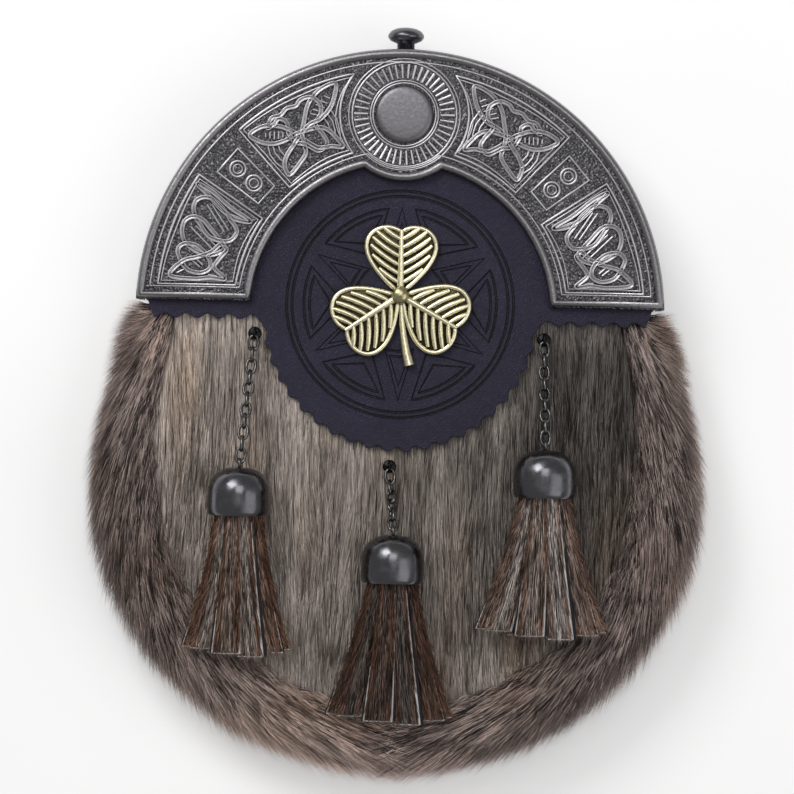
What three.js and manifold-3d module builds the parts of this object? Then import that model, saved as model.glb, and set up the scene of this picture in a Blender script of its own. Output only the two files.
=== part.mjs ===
// A full dress sporran: a fur pouch with a cast metal cantle, a pinked leather apron with a
// shamrock badge, and three fur tassels that hang on chains from below the apron.
// Millimetres, +Z up. The sporran lies on its back: +Z leaves its front, +Y points to its top.
// The pieces are drawn about the centre of the cantle's arc. The part's origin is the middle
// of its outline, on the plane that the belt loops rest on.
import * as THREE from "three";
import { mergeVertices } from "three/addons/utils/BufferGeometryUtils.js";
import Module from "manifold-3d";

const wasm = await Module();
wasm.setup();

// Driving dimensions
const seatGap = 0.3; // between two pieces that touch on the real object
const leatherWall = 2; // belt loops and the hides of the fur pieces
const backWall = 2.5; // back panel
const apronWall = 1.8;
const strapRoom = 5; // clear height of a belt loop, for a strap on the real object
const pouchDepth = 10; // clear depth of the pouch between the back panel and the front hide
const apronNap = 0.7; // flattened fur that the apron lies on

const cantleRadius = 87; // outer radius of the arc
const cantleInnerRadius = 49.2;
const cantleFoot = 3; // height of the two feet over the arc's centre
const cantlePlate = 2.2;
const rimWall = 1.8; // turned rim round the arc
const rimLift = 0.6; // the rim ends this far above the back panel's rear face
const bossDrop = 2.7; // the round boss sits this far below the middle of the plate's breadth
const bossRim = 4.3; // from the boss' outer ring to the plate's edge
const lobeWall = 4.7; // the plate bulges round the boss by this much
const discInset = 7.9; // from the outer ring to the plain disc
const discRise = 1.2;
const fluteInset = 2.9; // flutes start this far outside the disc
const fluteEnd = 0.7; // and end this far inside the outer ring
const fluteCount = 20;
const frameInside = 5.5; // panel frames, from the plate's inner and outer edges
const frameOutside = 6;
const squareInside = 10.2; // the small square panel, from the same edges
const squareOutside = 11.4;
const bossMargin = 3.3; // between the boss and the upper panels
const edgeBead = 3; // width of the plain rounded edge
const beadRise = 0.8;
const lineWidth = 1; // raised lines of the panels
const lineRise = 0.5;
const knotWidth = 1.2;

const knobRadius = 6;
const knobHeadHeight = 5;
const knobStemRadius = 3;
const knobTravel = 2.5; // how far the catch is pressed in
const knobRunningGap = 0.35; // between the stem and its hole
const knobStand = 3; // stem that shows under the head
const catchRadius = 4.2; // collar of the catch, inside the rim
const catchHeight = 2;

const bodyCentreY = -56; // centre of the pouch's round lower part
const bodyHalf = 92.8; // half width of the hide there
const bodyDrop = 87; // from there to the hide's lowest point
const seamHalfWidth = 80.5; // seam between the front panel and the gusset band
const seamDrop = 73;
const shoulderInset = 7; // the hide is this much narrower than the cantle just below it
const seamInset = 8.5; // from the hide's edge to the seam at the shoulder
const bellyRise = 3.5; // the front hide swells by this at the belly
const bellyRun = 50; // over this length below the apron
const rollRise = 7; // crest of the gusset band over the front hide
const furDepth = 9.5; // fur that stands off the gusset band's edge
const shoulderFur = 0.6; // share of that depth left at the shoulder
const furNap = 3.4; // fur on the front panel
const furLay = 20; // it is pressed flat for this far round the apron
const lockPitch = 15; // length of a lock from root to tip
const lockSwing = 2.5; // neighbouring locks end this far above and below the row

const apronRadius = 45.6; // to the tips of the pinked edge
const yokeInset = 6; // the apron's yoke ends this far inside the cantle's edge
const yokeDrop = 3; // the yoke ends this far below the arc's centre
const pinkPitch = 6.5;
const pinkDepth = 1.6;

const leafLength = 23.6; // shamrock leaf, from the badge's centre
const leafHalf = 12.2;
const leafNotch = 2.8;
const badgeY = 6; // centre of the shamrock
const badgePlate = 1.4;
const badgeRim = 1.2;
const badgeRise = 1;
const badgeBall = 2.9;
const stemLength = 23;

const linkInner = 4.2; // clear length of a chain link
const linkHalf = 1.65; // centre of its wire from its axis
const linkWire = 0.42; // wire radius
const anchorWire = 0.5;
const anchorEye = 1.9;
const anchorFoot = 2.4;
const anchorBase = 1.2; // thickness of that foot
const anchorPost = 0.6;
const lowEyeRoom = 2.55; // from the apron's tip to the middle eye's foot
const bellRadius = 10.2;
const bellHeight = 15.5;
const bellWall = 0.9;
const eyeRadius = 1.5; // eye on a bell
const eyeWire = 0.5;
const tasselLength = 45; // strips below the bell
const stripWall = 1.6;
const stripWidth = 8;
const stripNeck = 4; // width where a strip leaves the bell
const stripCrown = 0.6;
const tasselSpread = 15; // the outer strips end this far from the axis
const stripSink = 5.2; // the lowest strips end this far below it
const plugGap = 0.8; // between the gathered strips and the bell
const bellRest = 0.8; // the bell lies this far above the fur

const loopHalf = 12; // belt loop, half width
const loopFlat = 44;
const loopRamp = 8;
const loopSewn = 12;
const loopX = 50;
const loopY = 4;

// Levels that follow from them
const backZ = leatherWall + strapRoom;
const frontZ = backZ + backWall + pouchDepth; // rear of the front hide
const hideTop = frontZ + leatherWall;
const apronZ = hideTop + apronNap;
const plateZ = apronZ + apronWall + seatGap;
const faceZ = plateZ + cantlePlate;
const linkPitch = linkInner - seatGap;

// The boss and what surrounds it follow from the plate's breadth
const bossHeight = (cantleRadius + cantleInnerRadius) / 2 - bossDrop;
const bossRadius = cantleRadius - bossRim - bossHeight;
const lobeRadius = bossRadius + lobeWall;
const discRadius = bossRadius - discInset;
const fluteInner = discRadius + fluteInset;
const fluteOuter = bossRadius - fluteEnd;
const shoulderHalf = cantleRadius - shoulderInset;
const yokeHalf = cantleRadius - yokeInset;

const metal = (colour, roughness) =>
  new THREE.MeshStandardMaterial({ color: colour, roughness, metalness: 1 });
const soft = (colour) =>
  new THREE.MeshStandardMaterial({ color: colour, roughness: 0.85, metalness: 0 });
const antiqueSilver = metal(0x77757a, 0.42);
const darkMetal = metal(0x3c3b3e, 0.25);
const chainSteel = metal(0x8a8884, 0.3);
const blackWire = metal(0x151517, 0.5);
const antiqueBrass = metal(0xcfc69a, 0.35);
const navyLeather = soft(0x2b2836);
const blackLeather = soft(0x1c1b1e);
const paleFur = soft(0x776d67);
const darkFur = soft(0x51443f);
const tasselFur = soft(0x4f423c);

const sporran = new THREE.Group();

function add(name, geometry, material, parent = sporran) {
  const mesh = new THREE.Mesh(geometry, material);
  mesh.name = name;
  parent.add(mesh);
  return mesh;
}

// A three.js geometry as a solid that can be joined and cut.
function toSolid(geometry) {
  const bare = geometry.clone();
  for (const key of Object.keys(bare.attributes)) {
    if (key !== "position") bare.deleteAttribute(key);
  }
  const merged = mergeVertices(bare, 1e-4);
  return new wasm.Manifold(
    new wasm.Mesh({
      numProp: 3,
      vertProperties: merged.attributes.position.array,
      triVerts: new Uint32Array(merged.index.array),
    }),
  );
}

function toGeometry(solid) {
  const { numProp, vertProperties, triVerts } = solid.getMesh();
  const indexed = new THREE.BufferGeometry();
  indexed.setAttribute("position", new THREE.BufferAttribute(vertProperties, numProp));
  indexed.setIndex(new THREE.BufferAttribute(triVerts, 1));
  const faceted = indexed.toNonIndexed();
  faceted.computeVertexNormals();
  return faceted;
}

function joined(geometries) {
  return toGeometry(geometries.map(toSolid).reduce((whole, piece) => whole.add(piece)));
}

function fromTriangles(points, triangles) {
  const geometry = new THREE.BufferGeometry().setFromPoints(points);
  geometry.setIndex(triangles);
  const faceted = geometry.toNonIndexed();
  faceted.computeVertexNormals();
  return faceted;
}

// Rings of equally many points, joined one to the next. Each ring runs anticlockwise seen
// from the end of the path; a closed path needs no caps.
function loft(rings, closedPath = false) {
  const size = rings[0].length;
  const triangles = [];
  const last = closedPath ? rings.length : rings.length - 1;
  for (let k = 0; k < last; k++) {
    const from = k * size;
    const to = ((k + 1) % rings.length) * size;
    for (let i = 0; i < size; i++) {
      const next = (i + 1) % size;
      triangles.push(from + i, from + next, to + next, from + i, to + next, to + i);
    }
  }
  if (!closedPath) {
    const end = (rings.length - 1) * size;
    for (let i = 1; i < size - 1; i++) {
      triangles.push(0, i + 1, i, end, end + i, end + i + 1);
    }
  }
  return fromTriangles(rings.flat(), triangles);
}

// A wall between an outer and an inner surface, each a function of column and row.
function slab(columns, rows, outer, inner) {
  const points = [];
  for (const surface of [outer, inner]) {
    for (let j = 0; j <= rows; j++) {
      for (let i = 0; i <= columns; i++) points.push(surface(i / columns, j / rows, i, j));
    }
  }
  const half = points.length / 2;
  const out = (i, j) => j * (columns + 1) + i;
  const back = (i, j) => half + out(i, j);
  const triangles = [];
  const quad = (a, b, c, d) => triangles.push(a, b, c, a, c, d);
  for (let j = 0; j < rows; j++) {
    for (let i = 0; i < columns; i++) {
      quad(out(i, j), out(i + 1, j), out(i + 1, j + 1), out(i, j + 1));
      quad(back(i, j), back(i, j + 1), back(i + 1, j + 1), back(i + 1, j));
    }
    quad(out(0, j), out(0, j + 1), back(0, j + 1), back(0, j));
    quad(out(columns, j), back(columns, j), back(columns, j + 1), out(columns, j + 1));
  }
  for (let i = 0; i < columns; i++) {
    quad(out(i, 0), back(i, 0), back(i + 1, 0), out(i + 1, 0));
    quad(out(i, rows), out(i + 1, rows), back(i + 1, rows), back(i, rows));
  }
  return fromTriangles(points, triangles);
}

function extruded(shape, depth, z, options = {}) {
  const geometry = new THREE.ExtrudeGeometry(shape, {
    depth,
    bevelEnabled: false,
    curveSegments: 12,
    ...options,
  });
  return geometry.translate(0, 0, z);
}

// Points of an arc, one for about each step of its length.
function arc(x, y, radius, from, to, step) {
  const count = Math.max(2, Math.round((Math.abs(to - from) * radius) / step));
  return new THREE.EllipseCurve(x, y, radius, radius, from, to, to < from, 0).getPoints(count);
}

const degrees = THREE.MathUtils.degToRad;
const mirrored = (points) => points.map((p) => new THREE.Vector2(-p.x, p.y)).reverse();
const onCircle = (radius, angle) =>
  new THREE.Vector2(radius * Math.cos(angle), radius * Math.sin(angle));

// Outline of the cantle's plate, moved inwards by inset all round.
function cantleOutline(inset, step) {
  const outer = cantleRadius - inset;
  const inner = cantleInnerRadius + inset;
  const foot = cantleFoot + inset;
  const lobe = lobeRadius - inset;
  const meetY = (inner ** 2 - lobe ** 2 + bossHeight ** 2) / (2 * bossHeight);
  const meet = Math.acos(meetY / inner);
  const lobeMeet = Math.asin((bossHeight - meetY) / lobe);
  const outerFoot = Math.asin(foot / outer);
  const innerFoot = Math.asin(foot / inner);
  return [
    ...arc(0, 0, outer, outerFoot, Math.PI - outerFoot, step),
    ...arc(0, 0, inner, Math.PI - innerFoot, Math.PI / 2 + meet, step),
    ...arc(0, bossHeight, lobe, lobeMeet - Math.PI, -lobeMeet, step / 2).slice(1),
    ...arc(0, 0, inner, Math.PI / 2 - meet, innerFoot, step).slice(1),
  ];
}

// A raised line with a roof-like section, along points on the face.
function ridge(points, closed, width, rise, z) {
  const sunk = 0.4;
  const half = (width / 2) * (1 + sunk / rise);
  const rings = points.map((p, i) => {
    const before = closed ? points.at(i - 1) : points[Math.max(0, i - 1)];
    const after = closed ? points[(i + 1) % points.length] : points[i + 1] ?? p;
    const entry = new THREE.Vector2().subVectors(p, before).normalize();
    const exit = new THREE.Vector2().subVectors(after, p).normalize();
    const along = entry.clone().add(exit).normalize();
    const mitre = half / Math.max(0.5, along.dot(exit.lengthSq() ? exit : entry));
    const side = new THREE.Vector2(-along.y, along.x).multiplyScalar(mitre);
    return [
      new THREE.Vector3(p.x + side.x, p.y + side.y, z - sunk),
      new THREE.Vector3(p.x, p.y, z + rise),
      new THREE.Vector3(p.x - side.x, p.y - side.y, z - sunk),
    ];
  });
  return loft(rings, closed);
}

// The three framed panels on the left half of the cantle, by radius and angle. The upper
// panel ends on an arc round the boss.
const panelInner = cantleInnerRadius + frameInside;
const panelOuter = cantleRadius - frameOutside;
const panelBreadth = panelOuter - panelInner;
const lowerPanel = { from: degrees(146.8), base: 8 };
const squarePanel = {
  from: degrees(136),
  to: degrees(143.5),
  inner: cantleInnerRadius + squareInside,
  outer: cantleRadius - squareOutside,
};
const upperPanel = { to: degrees(133.1), bossArc: bossRadius + bossMargin };

function lowerFrame(step) {
  const outerEnd = Math.PI - Math.asin(lowerPanel.base / panelOuter);
  const innerEnd = Math.PI - Math.asin(lowerPanel.base / panelInner);
  return [
    ...arc(0, 0, panelOuter, lowerPanel.from, outerEnd, step),
    ...arc(0, 0, panelInner, innerEnd, lowerPanel.from, step),
  ];
}

function squareFrame() {
  const { from, to, inner, outer } = squarePanel;
  return [
    onCircle(inner, from),
    onCircle(outer, from),
    onCircle(outer, to),
    onCircle(inner, to),
  ];
}

function upperFrame(step) {
  const reach = (radius) =>
    Math.PI / 2 +
    Math.acos((radius ** 2 + bossHeight ** 2 - upperPanel.bossArc ** 2) / (2 * radius * bossHeight));
  const outerTop = onCircle(panelOuter, reach(panelOuter));
  const innerTop = onCircle(panelInner, reach(panelInner));
  const round = (p) => Math.atan2(p.y - bossHeight, p.x);
  const outerTurn = round(outerTop);
  const innerTurn = round(innerTop) + (round(innerTop) < 0 ? 2 * Math.PI : 0);
  return [
    ...arc(0, 0, panelOuter, reach(panelOuter), upperPanel.to, step),
    ...arc(0, 0, panelInner, upperPanel.to, reach(panelInner), step),
    ...arc(0, bossHeight, upperPanel.bossArc, innerTurn, outerTurn, step).slice(1, -1),
  ];
}

// A pointed leaf between two points.
function leaf(from, to, width) {
  const axis = new THREE.Vector2().subVectors(to, from);
  const side = new THREE.Vector2(-axis.y, axis.x).normalize();
  const at = (t, way) =>
    from
      .clone()
      .addScaledVector(axis, t)
      .addScaledVector(side, (way * width * Math.sin(Math.PI * t)) / 2);
  const shares = [0, 0.3, 0.7];
  return [...shares.map((t) => at(t, 1)), ...shares.map((t) => at(1 - t, -1))];
}

// Knotwork of the left half: places as a share of the panels' breadth from their inner edge
// and a turn in degrees, and sizes as shares of that breadth
const onPlate = ([out, turn]) => onCircle(panelInner + panelBreadth * out, degrees(turn));
const upperLeaves = [
  { from: [0.600, 117.4], to: [0.898, 107.0], width: 0.213 },
  { from: [0.579, 121.6], to: [0.832, 131.6], width: 0.213 },
  { from: [0.401, 118.8], to: [0.116, 110.5], width: 0.175 },
  { from: [0.384, 122.6], to: [0.118, 130.4], width: 0.160 },
];
const rings = [
  { at: [0.516, 119.9], size: 0.243 },
  { at: [0.775, 123.4], size: 0.114 },
  { at: [0.788, 115.1], size: 0.114 },
  { at: [0.614, 153.9], size: 0.190 },
  { at: [0.527, 159.0], size: 0.228 },
  { at: [0.501, 165.1], size: 0.198 },
];
const lowerLines = [
  [[0.889, 148.4], [0.137, 149.3], [0.549, 154.1]],
  [[0.840, 151.5], [0.289, 157.1]],
  [[0.828, 158.2], [0.252, 165.3]],
  [[0.840, 171.2], [0.397, 171.3], [0.183, 169.0]],
];
const squareRings = [0.3, 0.74]; // places across the square panel
const squareRingSize = 0.18;

const circle = (x, y, radius, sides) =>
  new THREE.EllipseCurve(x, y, radius, radius, 0, 2 * Math.PI).getPoints(sides).slice(0, -1);

function knotwork() {
  const { from, to, inner, outer } = squarePanel;
  const across = outer - inner;
  const ring = (centre, radius) => ({
    points: circle(centre.x, centre.y, radius, 6),
    closed: true,
  });
  return [
    ...upperLeaves.map((l) => ({
      points: leaf(onPlate(l.from), onPlate(l.to), l.width * panelBreadth),
      closed: true,
    })),
    ...rings.map((r) => ring(onPlate(r.at), r.size * panelBreadth)),
    ...lowerLines.map((line) => ({ points: line.map(onPlate), closed: false })),
    ...squareRings.map((share) =>
      ring(onCircle(inner + across * share, (from + to) / 2), across * squareRingSize),
    ),
  ];
}

// The fluted boss: a plain disc, flutes and two rings.
function boss() {
  const disc = new THREE.LatheGeometry(
    [
      new THREE.Vector2(0, -discRise / 2),
      new THREE.Vector2(discRadius, -discRise / 2),
      new THREE.Vector2(discRadius, discRise * 0.6),
      new THREE.Vector2(discRadius * 0.8, discRise),
      new THREE.Vector2(0, discRise * 1.15),
    ],
    16,
  ).rotateX(Math.PI / 2);
  const ring = (radius, sides) =>
    ridge(circle(0, bossHeight, radius, sides), true, lineWidth, lineRise, faceZ);
  const pieces = [
    disc.translate(0, bossHeight, faceZ),
    ring(bossRadius, 16),
    ring(fluteInner - lineWidth, 12),
  ];
  for (let k = 0; k < fluteCount; k++) {
    const turn = (2 * Math.PI * k) / fluteCount;
    const spoke = [fluteInner, fluteOuter].map((r) => onCircle(r, turn));
    spoke.forEach((p) => (p.y += bossHeight));
    pieces.push(ridge(spoke, false, lineWidth * 0.8, lineRise, faceZ));
  }
  return pieces;
}

function cantle() {
  const step = 12;
  const rimZ = backZ + rimLift;
  const outline = new THREE.Shape(cantleOutline(beadRise, step));
  const plate = extruded(outline, cantlePlate - beadRise, plateZ + beadRise / 2, {
    bevelEnabled: true,
    bevelThickness: beadRise / 2,
    bevelSize: beadRise,
    bevelSegments: 1,
  });
  const footAngle = Math.asin(cantleFoot / cantleRadius);
  const rimShape = new THREE.Shape([
    ...arc(0, 0, cantleRadius, footAngle, Math.PI - footAngle, step),
    ...arc(0, 0, cantleRadius - rimWall, Math.PI - footAngle, footAngle, step),
  ]);
  const rim = extruded(rimShape, plateZ + cantlePlate / 2 - rimZ, rimZ);
  const pieces = [plate, rim];
  pieces.push(ridge(cantleOutline(edgeBead / 2 + 0.2, step), true, edgeBead - 0.6, beadRise, faceZ));
  pieces.push(...boss());
  const drawn = [
    { points: lowerFrame(2 * step), closed: true },
    { points: squareFrame(), closed: true },
    { points: upperFrame(2 * step), closed: true },
  ];
  for (const line of drawn) line.width = lineWidth;
  for (const line of knotwork()) drawn.push({ ...line, width: knotWidth });
  for (const { points, closed, width } of drawn) {
    pieces.push(ridge(points, closed, width, lineRise, faceZ));
    pieces.push(ridge(mirrored(points), closed, width, lineRise, faceZ));
  }
  let whole = pieces.map(toSolid).reduce((sum, piece) => sum.add(piece));
  const hole = new THREE.CylinderGeometry(
    knobStemRadius + knobRunningGap,
    knobStemRadius + knobRunningGap,
    rimWall * 4,
    12,
  ).translate(0, cantleRadius, knobZ);
  whole = whole.subtract(toSolid(hole));
  return toGeometry(whole);
}

// The catch's button on top of the cantle: head, stem and the collar inside the rim.
const knobZ = (backZ + rimLift + plateZ) / 2;
function knob() {
  const collarTop = -rimWall - seatGap - 0.3;
  const head = knobStand;
  const profile = [
    [0, collarTop - catchHeight],
    [catchRadius, collarTop - catchHeight],
    [catchRadius, collarTop],
    [knobStemRadius, collarTop],
    [knobStemRadius, head],
    [knobRadius * 0.82, head + knobHeadHeight * 0.12],
    [knobRadius, head + knobHeadHeight * 0.42],
    [knobRadius * 0.93, head + knobHeadHeight * 0.68],
    [knobRadius * 0.62, head + knobHeadHeight * 0.93],
    [0, head + knobHeadHeight],
  ].map(([r, y]) => new THREE.Vector2(r, y));
  return new THREE.LatheGeometry(profile, 16).translate(0, cantleRadius, knobZ);
}

// The pouch's outline below the cantle: flaring sides over half an ellipse.
const hideLine = { half: bodyHalf, drop: bodyDrop, shoulder: shoulderHalf };
const seamLine = { half: seamHalfWidth, drop: seamDrop, shoulder: shoulderHalf - seamInset };

function halfWidth(y, { half, drop, shoulder }) {
  const below = Math.min(1, Math.max(0, (bodyCentreY - y) / drop));
  if (y <= bodyCentreY) return half * Math.sqrt(1 - below ** 2);
  const share = (y - bodyCentreY) / (cantleFoot - bodyCentreY);
  return half + (shoulder - half) * share ** 2;
}

// A point of that outline's round lower part, at a turn from +X
const roundPoint = ({ half, drop }, turn, out = 0) =>
  new THREE.Vector2(
    (half + out) * Math.cos(turn),
    bodyCentreY + (drop + out) * Math.sin(turn),
  );

// Inside the cantle's rim
const rimInside = cantleRadius - rimWall - seatGap;

function backPanel() {
  const outline = [];
  const foot = Math.asin(cantleFoot / rimInside);
  outline.push(...arc(0, 0, rimInside, foot, Math.PI - foot, 12));
  const side = [];
  const rows = 6;
  for (let k = 0; k <= rows; k++) {
    const y = cantleFoot - 1 + ((bodyCentreY - cantleFoot + 1) * k) / rows;
    side.push(new THREE.Vector2(-halfWidth(y, hideLine), y));
  }
  outline.push(...side);
  const roundSteps = 24;
  for (let k = 1; k < roundSteps; k++) {
    outline.push(roundPoint(hideLine, Math.PI * (1 + k / roundSteps)));
  }
  outline.push(...mirrored(side));
  return extruded(new THREE.Shape(outline), backWall, backZ);
}

// The front hide, flat under the apron and the cantle, swelling below them, with its fur in
// rows of locks that point down.
const frontRows = [
  { y: rimInside * 0.895, lock: 0 },
  { y: rimInside * 0.68, lock: 0 },
  { y: rimInside * 0.45, lock: 0 },
  { y: cantleFoot + 1, lock: 0 },
  { y: cantleFoot, lock: 0 },
];
const firstLock = -7;
const lastLock = bodyCentreY - seamDrop + 3;
const lockRows = Math.round((firstLock - lastLock) / lockPitch);
for (let k = 0; k < lockRows; k++) {
  const root = firstLock + ((lastLock - firstLock) * k) / lockRows;
  const tip = firstLock + ((lastLock - firstLock) * (k + 0.94)) / lockRows;
  frontRows.push({ y: root, lock: 0.35 }, { y: tip, lock: 1 });
}

function seamHalf(y) {
  if (y > cantleFoot) return Math.sqrt((rimInside - 2) ** 2 - y ** 2);
  return halfWidth(y, seamLine) - 2 * seatGap;
}

function furRoom(x, y) {
  return y > firstLock || Math.hypot(x, y) < apronRadius + furLay ? 0 : furNap;
}

function frontHide(x, y) {
  const down = THREE.MathUtils.smoothstep(-y, apronRadius, apronRadius + bellyRun);
  const across = 1 - (x / seamHalfWidth) ** 2;
  return hideTop + bellyRise * down * Math.max(0, across);
}

function frontPanel() {
  const columns = 10;
  const rows = frontRows.length - 1;
  const row = (j) => frontRows[rows - j];
  const place = (u, y) => [(2 * u - 1) * seamHalf(y), y];
  const outer = (u, v, i, j) => {
    const { y, lock } = row(j);
    const edge = i === 0 || i === columns;
    const longLock = i % 2 === 0;
    const raised = lock === 1 && !edge && j > 0 && furRoom(...place(u, y)) > 0;
    const swing = raised ? lockSwing * (longLock ? -1 : 1) : 0;
    const [x, tipY] = place(u, y + swing);
    const stagger = lock === 1 && !longLock ? 0.55 : 1;
    const fur = furRoom(x, tipY) * lock * stagger * (edge ? 0.2 : 1);
    return new THREE.Vector3(x, tipY, frontHide(x, tipY) + fur);
  };
  const inner = (u, v, i, j) => {
    const [x, y] = place(u, row(j).y);
    return new THREE.Vector3(x, y, frontHide(x, y) - leatherWall);
  };
  return slab(columns, rows, outer, inner);
}

// The gusset band: a fur roll from the front seam round the side to the back panel's edge.
// The path runs from the left shoulder round the bottom to the right one.
function bandPath(share) {
  const top = cantleFoot - seatGap - 0.1;
  const sideLength = top - bodyCentreY;
  const round = (Math.PI * (bodyHalf + bodyDrop)) / 2;
  const total = 2 * sideLength + round;
  const s = share * total;
  if (s < sideLength) return { y: top - s, turn: Math.PI };
  if (s > sideLength + round) return { y: top - (total - s), turn: 0 };
  return { y: null, turn: Math.PI * (1 + (s - sideLength) / round) };
}

// Sections of the roll from the seam to the back edge: shares of the way from the seam to the
// hide's edge, and of the height from the back panel to the crest.
const rollSection = [
  { out: 0, up: 0.72, fur: 0.3 },
  { out: 0.22, up: 0.93, fur: 0.45 },
  { out: 0.5, up: 1, fur: 0.6 },
  { out: 0.8, up: 0.9, fur: 0.8 },
  { out: 1, up: 0.66, fur: 1 },
  { out: 1.06, up: 0.4, fur: 0.95 },
  { out: 1, up: 0.14, fur: 0.62 },
  { out: 0.86, up: 0.0, fur: 0.25 },
];
const bandRows = 18;
const bandLength = 2 * (cantleFoot - bodyCentreY) + (Math.PI * (bodyHalf + bodyDrop)) / 2;
const yokeShare = (cantleFoot + yokeDrop + 1) / bandLength; // pressed flat under the yoke
const shoulderRamp = 6; // the roll reaches its height this many times sooner than mid-path

function bandPoint(section, share, lift) {
  const { y, turn } = bandPath(share);
  const way = Math.min(share, 1 - share) - yokeShare;
  const shoulder = THREE.MathUtils.clamp(shoulderRamp * way, 0, 1);
  const floor = backZ + backWall + seatGap;
  const crest = hideTop + rollRise * shoulder;
  const depth = lift * THREE.MathUtils.lerp(shoulderFur, 1, shoulder) * section.fur;
  const outward = THREE.MathUtils.clamp((section.out - 0.42) / 0.64, 0, 1);
  const outFur = depth * outward;
  const upFur = section.up > 0.5 ? depth * (1 - outward) * 0.6 : 0;
  const z = floor + (crest - floor) * section.up + upFur;
  const between = (seam, edge) => seam + (edge - seam) * section.out + outFur;
  if (y === null) {
    const seam = roundPoint(seamLine, turn, seatGap);
    const edge = roundPoint(hideLine, turn);
    const way = new THREE.Vector2(Math.cos(turn), Math.sin(turn));
    const place = seam.lerp(edge, section.out).addScaledVector(way, outFur);
    return new THREE.Vector3(place.x, place.y, z);
  }
  const half = between(halfWidth(y, seamLine) + seatGap, halfWidth(y, hideLine));
  return new THREE.Vector3(Math.cos(turn) * half, y, z);
}

function gussetBand() {
  const columns = rollSection.length - 1;
  const stations = [[0, 0], [yokeShare, 0]];
  for (let k = 0; k < bandRows; k++) {
    if (k > 0) stations.push([k / bandRows, 0.35]);
    if (k < bandRows - 1) stations.push([(k + 0.93) / bandRows, 1]);
  }
  stations.push([1 - yokeShare, 0], [1, 0]);
  const rows = stations.length - 1;
  const outer = (u, v, i, j) => {
    const [share, lock] = stations[j];
    const section = rollSection[i];
    const stagger = lock === 1 && i % 2 === 1 ? 0.72 : 1;
    return bandPoint(section, share, furDepth * lock * stagger);
  };
  const inner = (u, v, i, j) => {
    const [share] = stations[j];
    const section = rollSection[i];
    const flat = bandPoint(section, share, 0);
    const centre = bandPoint({ out: 0.35, up: 0.35, fur: 0 }, share, 0);
    const way = centre.sub(flat).normalize();
    return flat.addScaledVector(way, leatherWall);
  };
  return slab(columns, rows, outer, inner);
}

// The pinked edge along a line or arc: tips and valleys, with a rounded flank between.
function pinked(length, place) {
  const count = Math.max(1, Math.round(length / pinkPitch));
  const wave = [0, 0.62, 1, 0.38];
  const points = [];
  for (let k = 0; k < count; k++) {
    wave.forEach((depth, q) => points.push(place((k + q / wave.length) / count, depth * pinkDepth)));
  }
  return points;
}

function apron() {
  const underCantle = rimInside - 1.6;
  const foot = Math.asin(cantleFoot / underCantle);
  const meetY = -yokeDrop - 1.5;
  const meetX = Math.sqrt(apronRadius ** 2 - meetY ** 2);
  const meet = Math.atan2(-meetY, meetX);
  const left = pinked(yokeHalf - meetX, (t, depth) => {
    const x = -yokeHalf + (yokeHalf - meetX) * t;
    return new THREE.Vector2(x, -yokeDrop + depth);
  });
  const round = pinked(apronRadius * (Math.PI - 2 * meet), (t, depth) => {
    const turn = Math.PI + meet + (Math.PI - 2 * meet) * t;
    return onCircle(apronRadius - depth, turn);
  });
  const outline = [
    ...arc(0, 0, underCantle, foot, Math.PI - foot, 12),
    ...left,
    ...round,
    ...mirrored(left),
  ];
  return extruded(new THREE.Shape(outline), apronWall, apronZ);
}

// Outline of a heart-shaped leaf along +X, from the badge's centre, drawn in by inset.
function heart(inset, count) {
  const points = [];
  for (let k = 0; k < count; k++) {
    const t = (2 * Math.PI * k) / count;
    const swell = Math.sin(t / 2) ** 0.9;
    const reach = leafLength * (0.5 - 0.5 * Math.cos(t));
    const notch = leafNotch * Math.exp(-(((t - Math.PI) / 0.42) ** 2));
    const x = Math.max(0, reach - notch);
    const y = -leafHalf * Math.sin(t) * swell * 1.12;
    points.push(new THREE.Vector2(x, y));
  }
  const centre = new THREE.Vector2(leafLength * 0.56, 0);
  return points.map((p) => {
    const away = p.clone().sub(centre);
    return p.addScaledVector(away, -inset / away.length());
  });
}

const leafTurns = [90, 215, 331];
const veinPairs = 2;

function badge() {
  const z = apronZ + apronWall + seatGap;
  const top = z + badgePlate;
  const pieces = [];
  for (const turn of leafTurns) {
    const parts = [
      extruded(new THREE.Shape(heart(0, 14).reverse()), badgePlate, z),
      ridge(heart(badgeRim / 2 + 0.1, 12), true, badgeRim, badgeRise, top),
      ridge(
        [new THREE.Vector2(4, 0), new THREE.Vector2(leafLength - leafNotch - 0.6, 0)],
        false,
        badgeRim,
        badgeRise,
        top,
      ),
    ];
    for (let k = 0; k < veinPairs; k++) {
      const root = leafLength * (0.3 + 0.24 * k);
      const reach = leafHalf * (0.38 + 0.14 * k);
      for (const way of [1, -1]) {
        const vein = [
          new THREE.Vector2(root, 0),
          new THREE.Vector2(root + reach * 0.72, way * reach),
        ];
        parts.push(ridge(vein, false, badgeRim, badgeRise * 0.8, top));
      }
    }
    parts.forEach((part) => pieces.push(part.rotateZ(degrees(turn))));
  }
  const ball = new THREE.SphereGeometry(badgeBall, 10, 5)
    .scale(1, 1, 0.8)
    .translate(0, 0, z + badgeBall * 0.8 + 0.1);
  const hub = new THREE.CylinderGeometry(badgeBall, badgeBall, badgePlate, 10)
    .rotateX(Math.PI / 2)
    .translate(0, 0, z + badgePlate / 2);
  const stem = new THREE.Shape([
    new THREE.Vector2(-0.9, 0),
    new THREE.Vector2(-0.2, -stemLength * 0.55),
    new THREE.Vector2(1.1, -stemLength * 0.97),
    new THREE.Vector2(3.2, -stemLength),
    new THREE.Vector2(4.6, -stemLength * 0.86),
    new THREE.Vector2(2.4, -stemLength * 0.5),
    new THREE.Vector2(0.9, 0),
  ]);
  pieces.push(hub, ball, extruded(stem, badgePlate + badgeRise * 0.6, z));
  return joined(pieces).translate(0, badgeY, 0);
}

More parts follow.
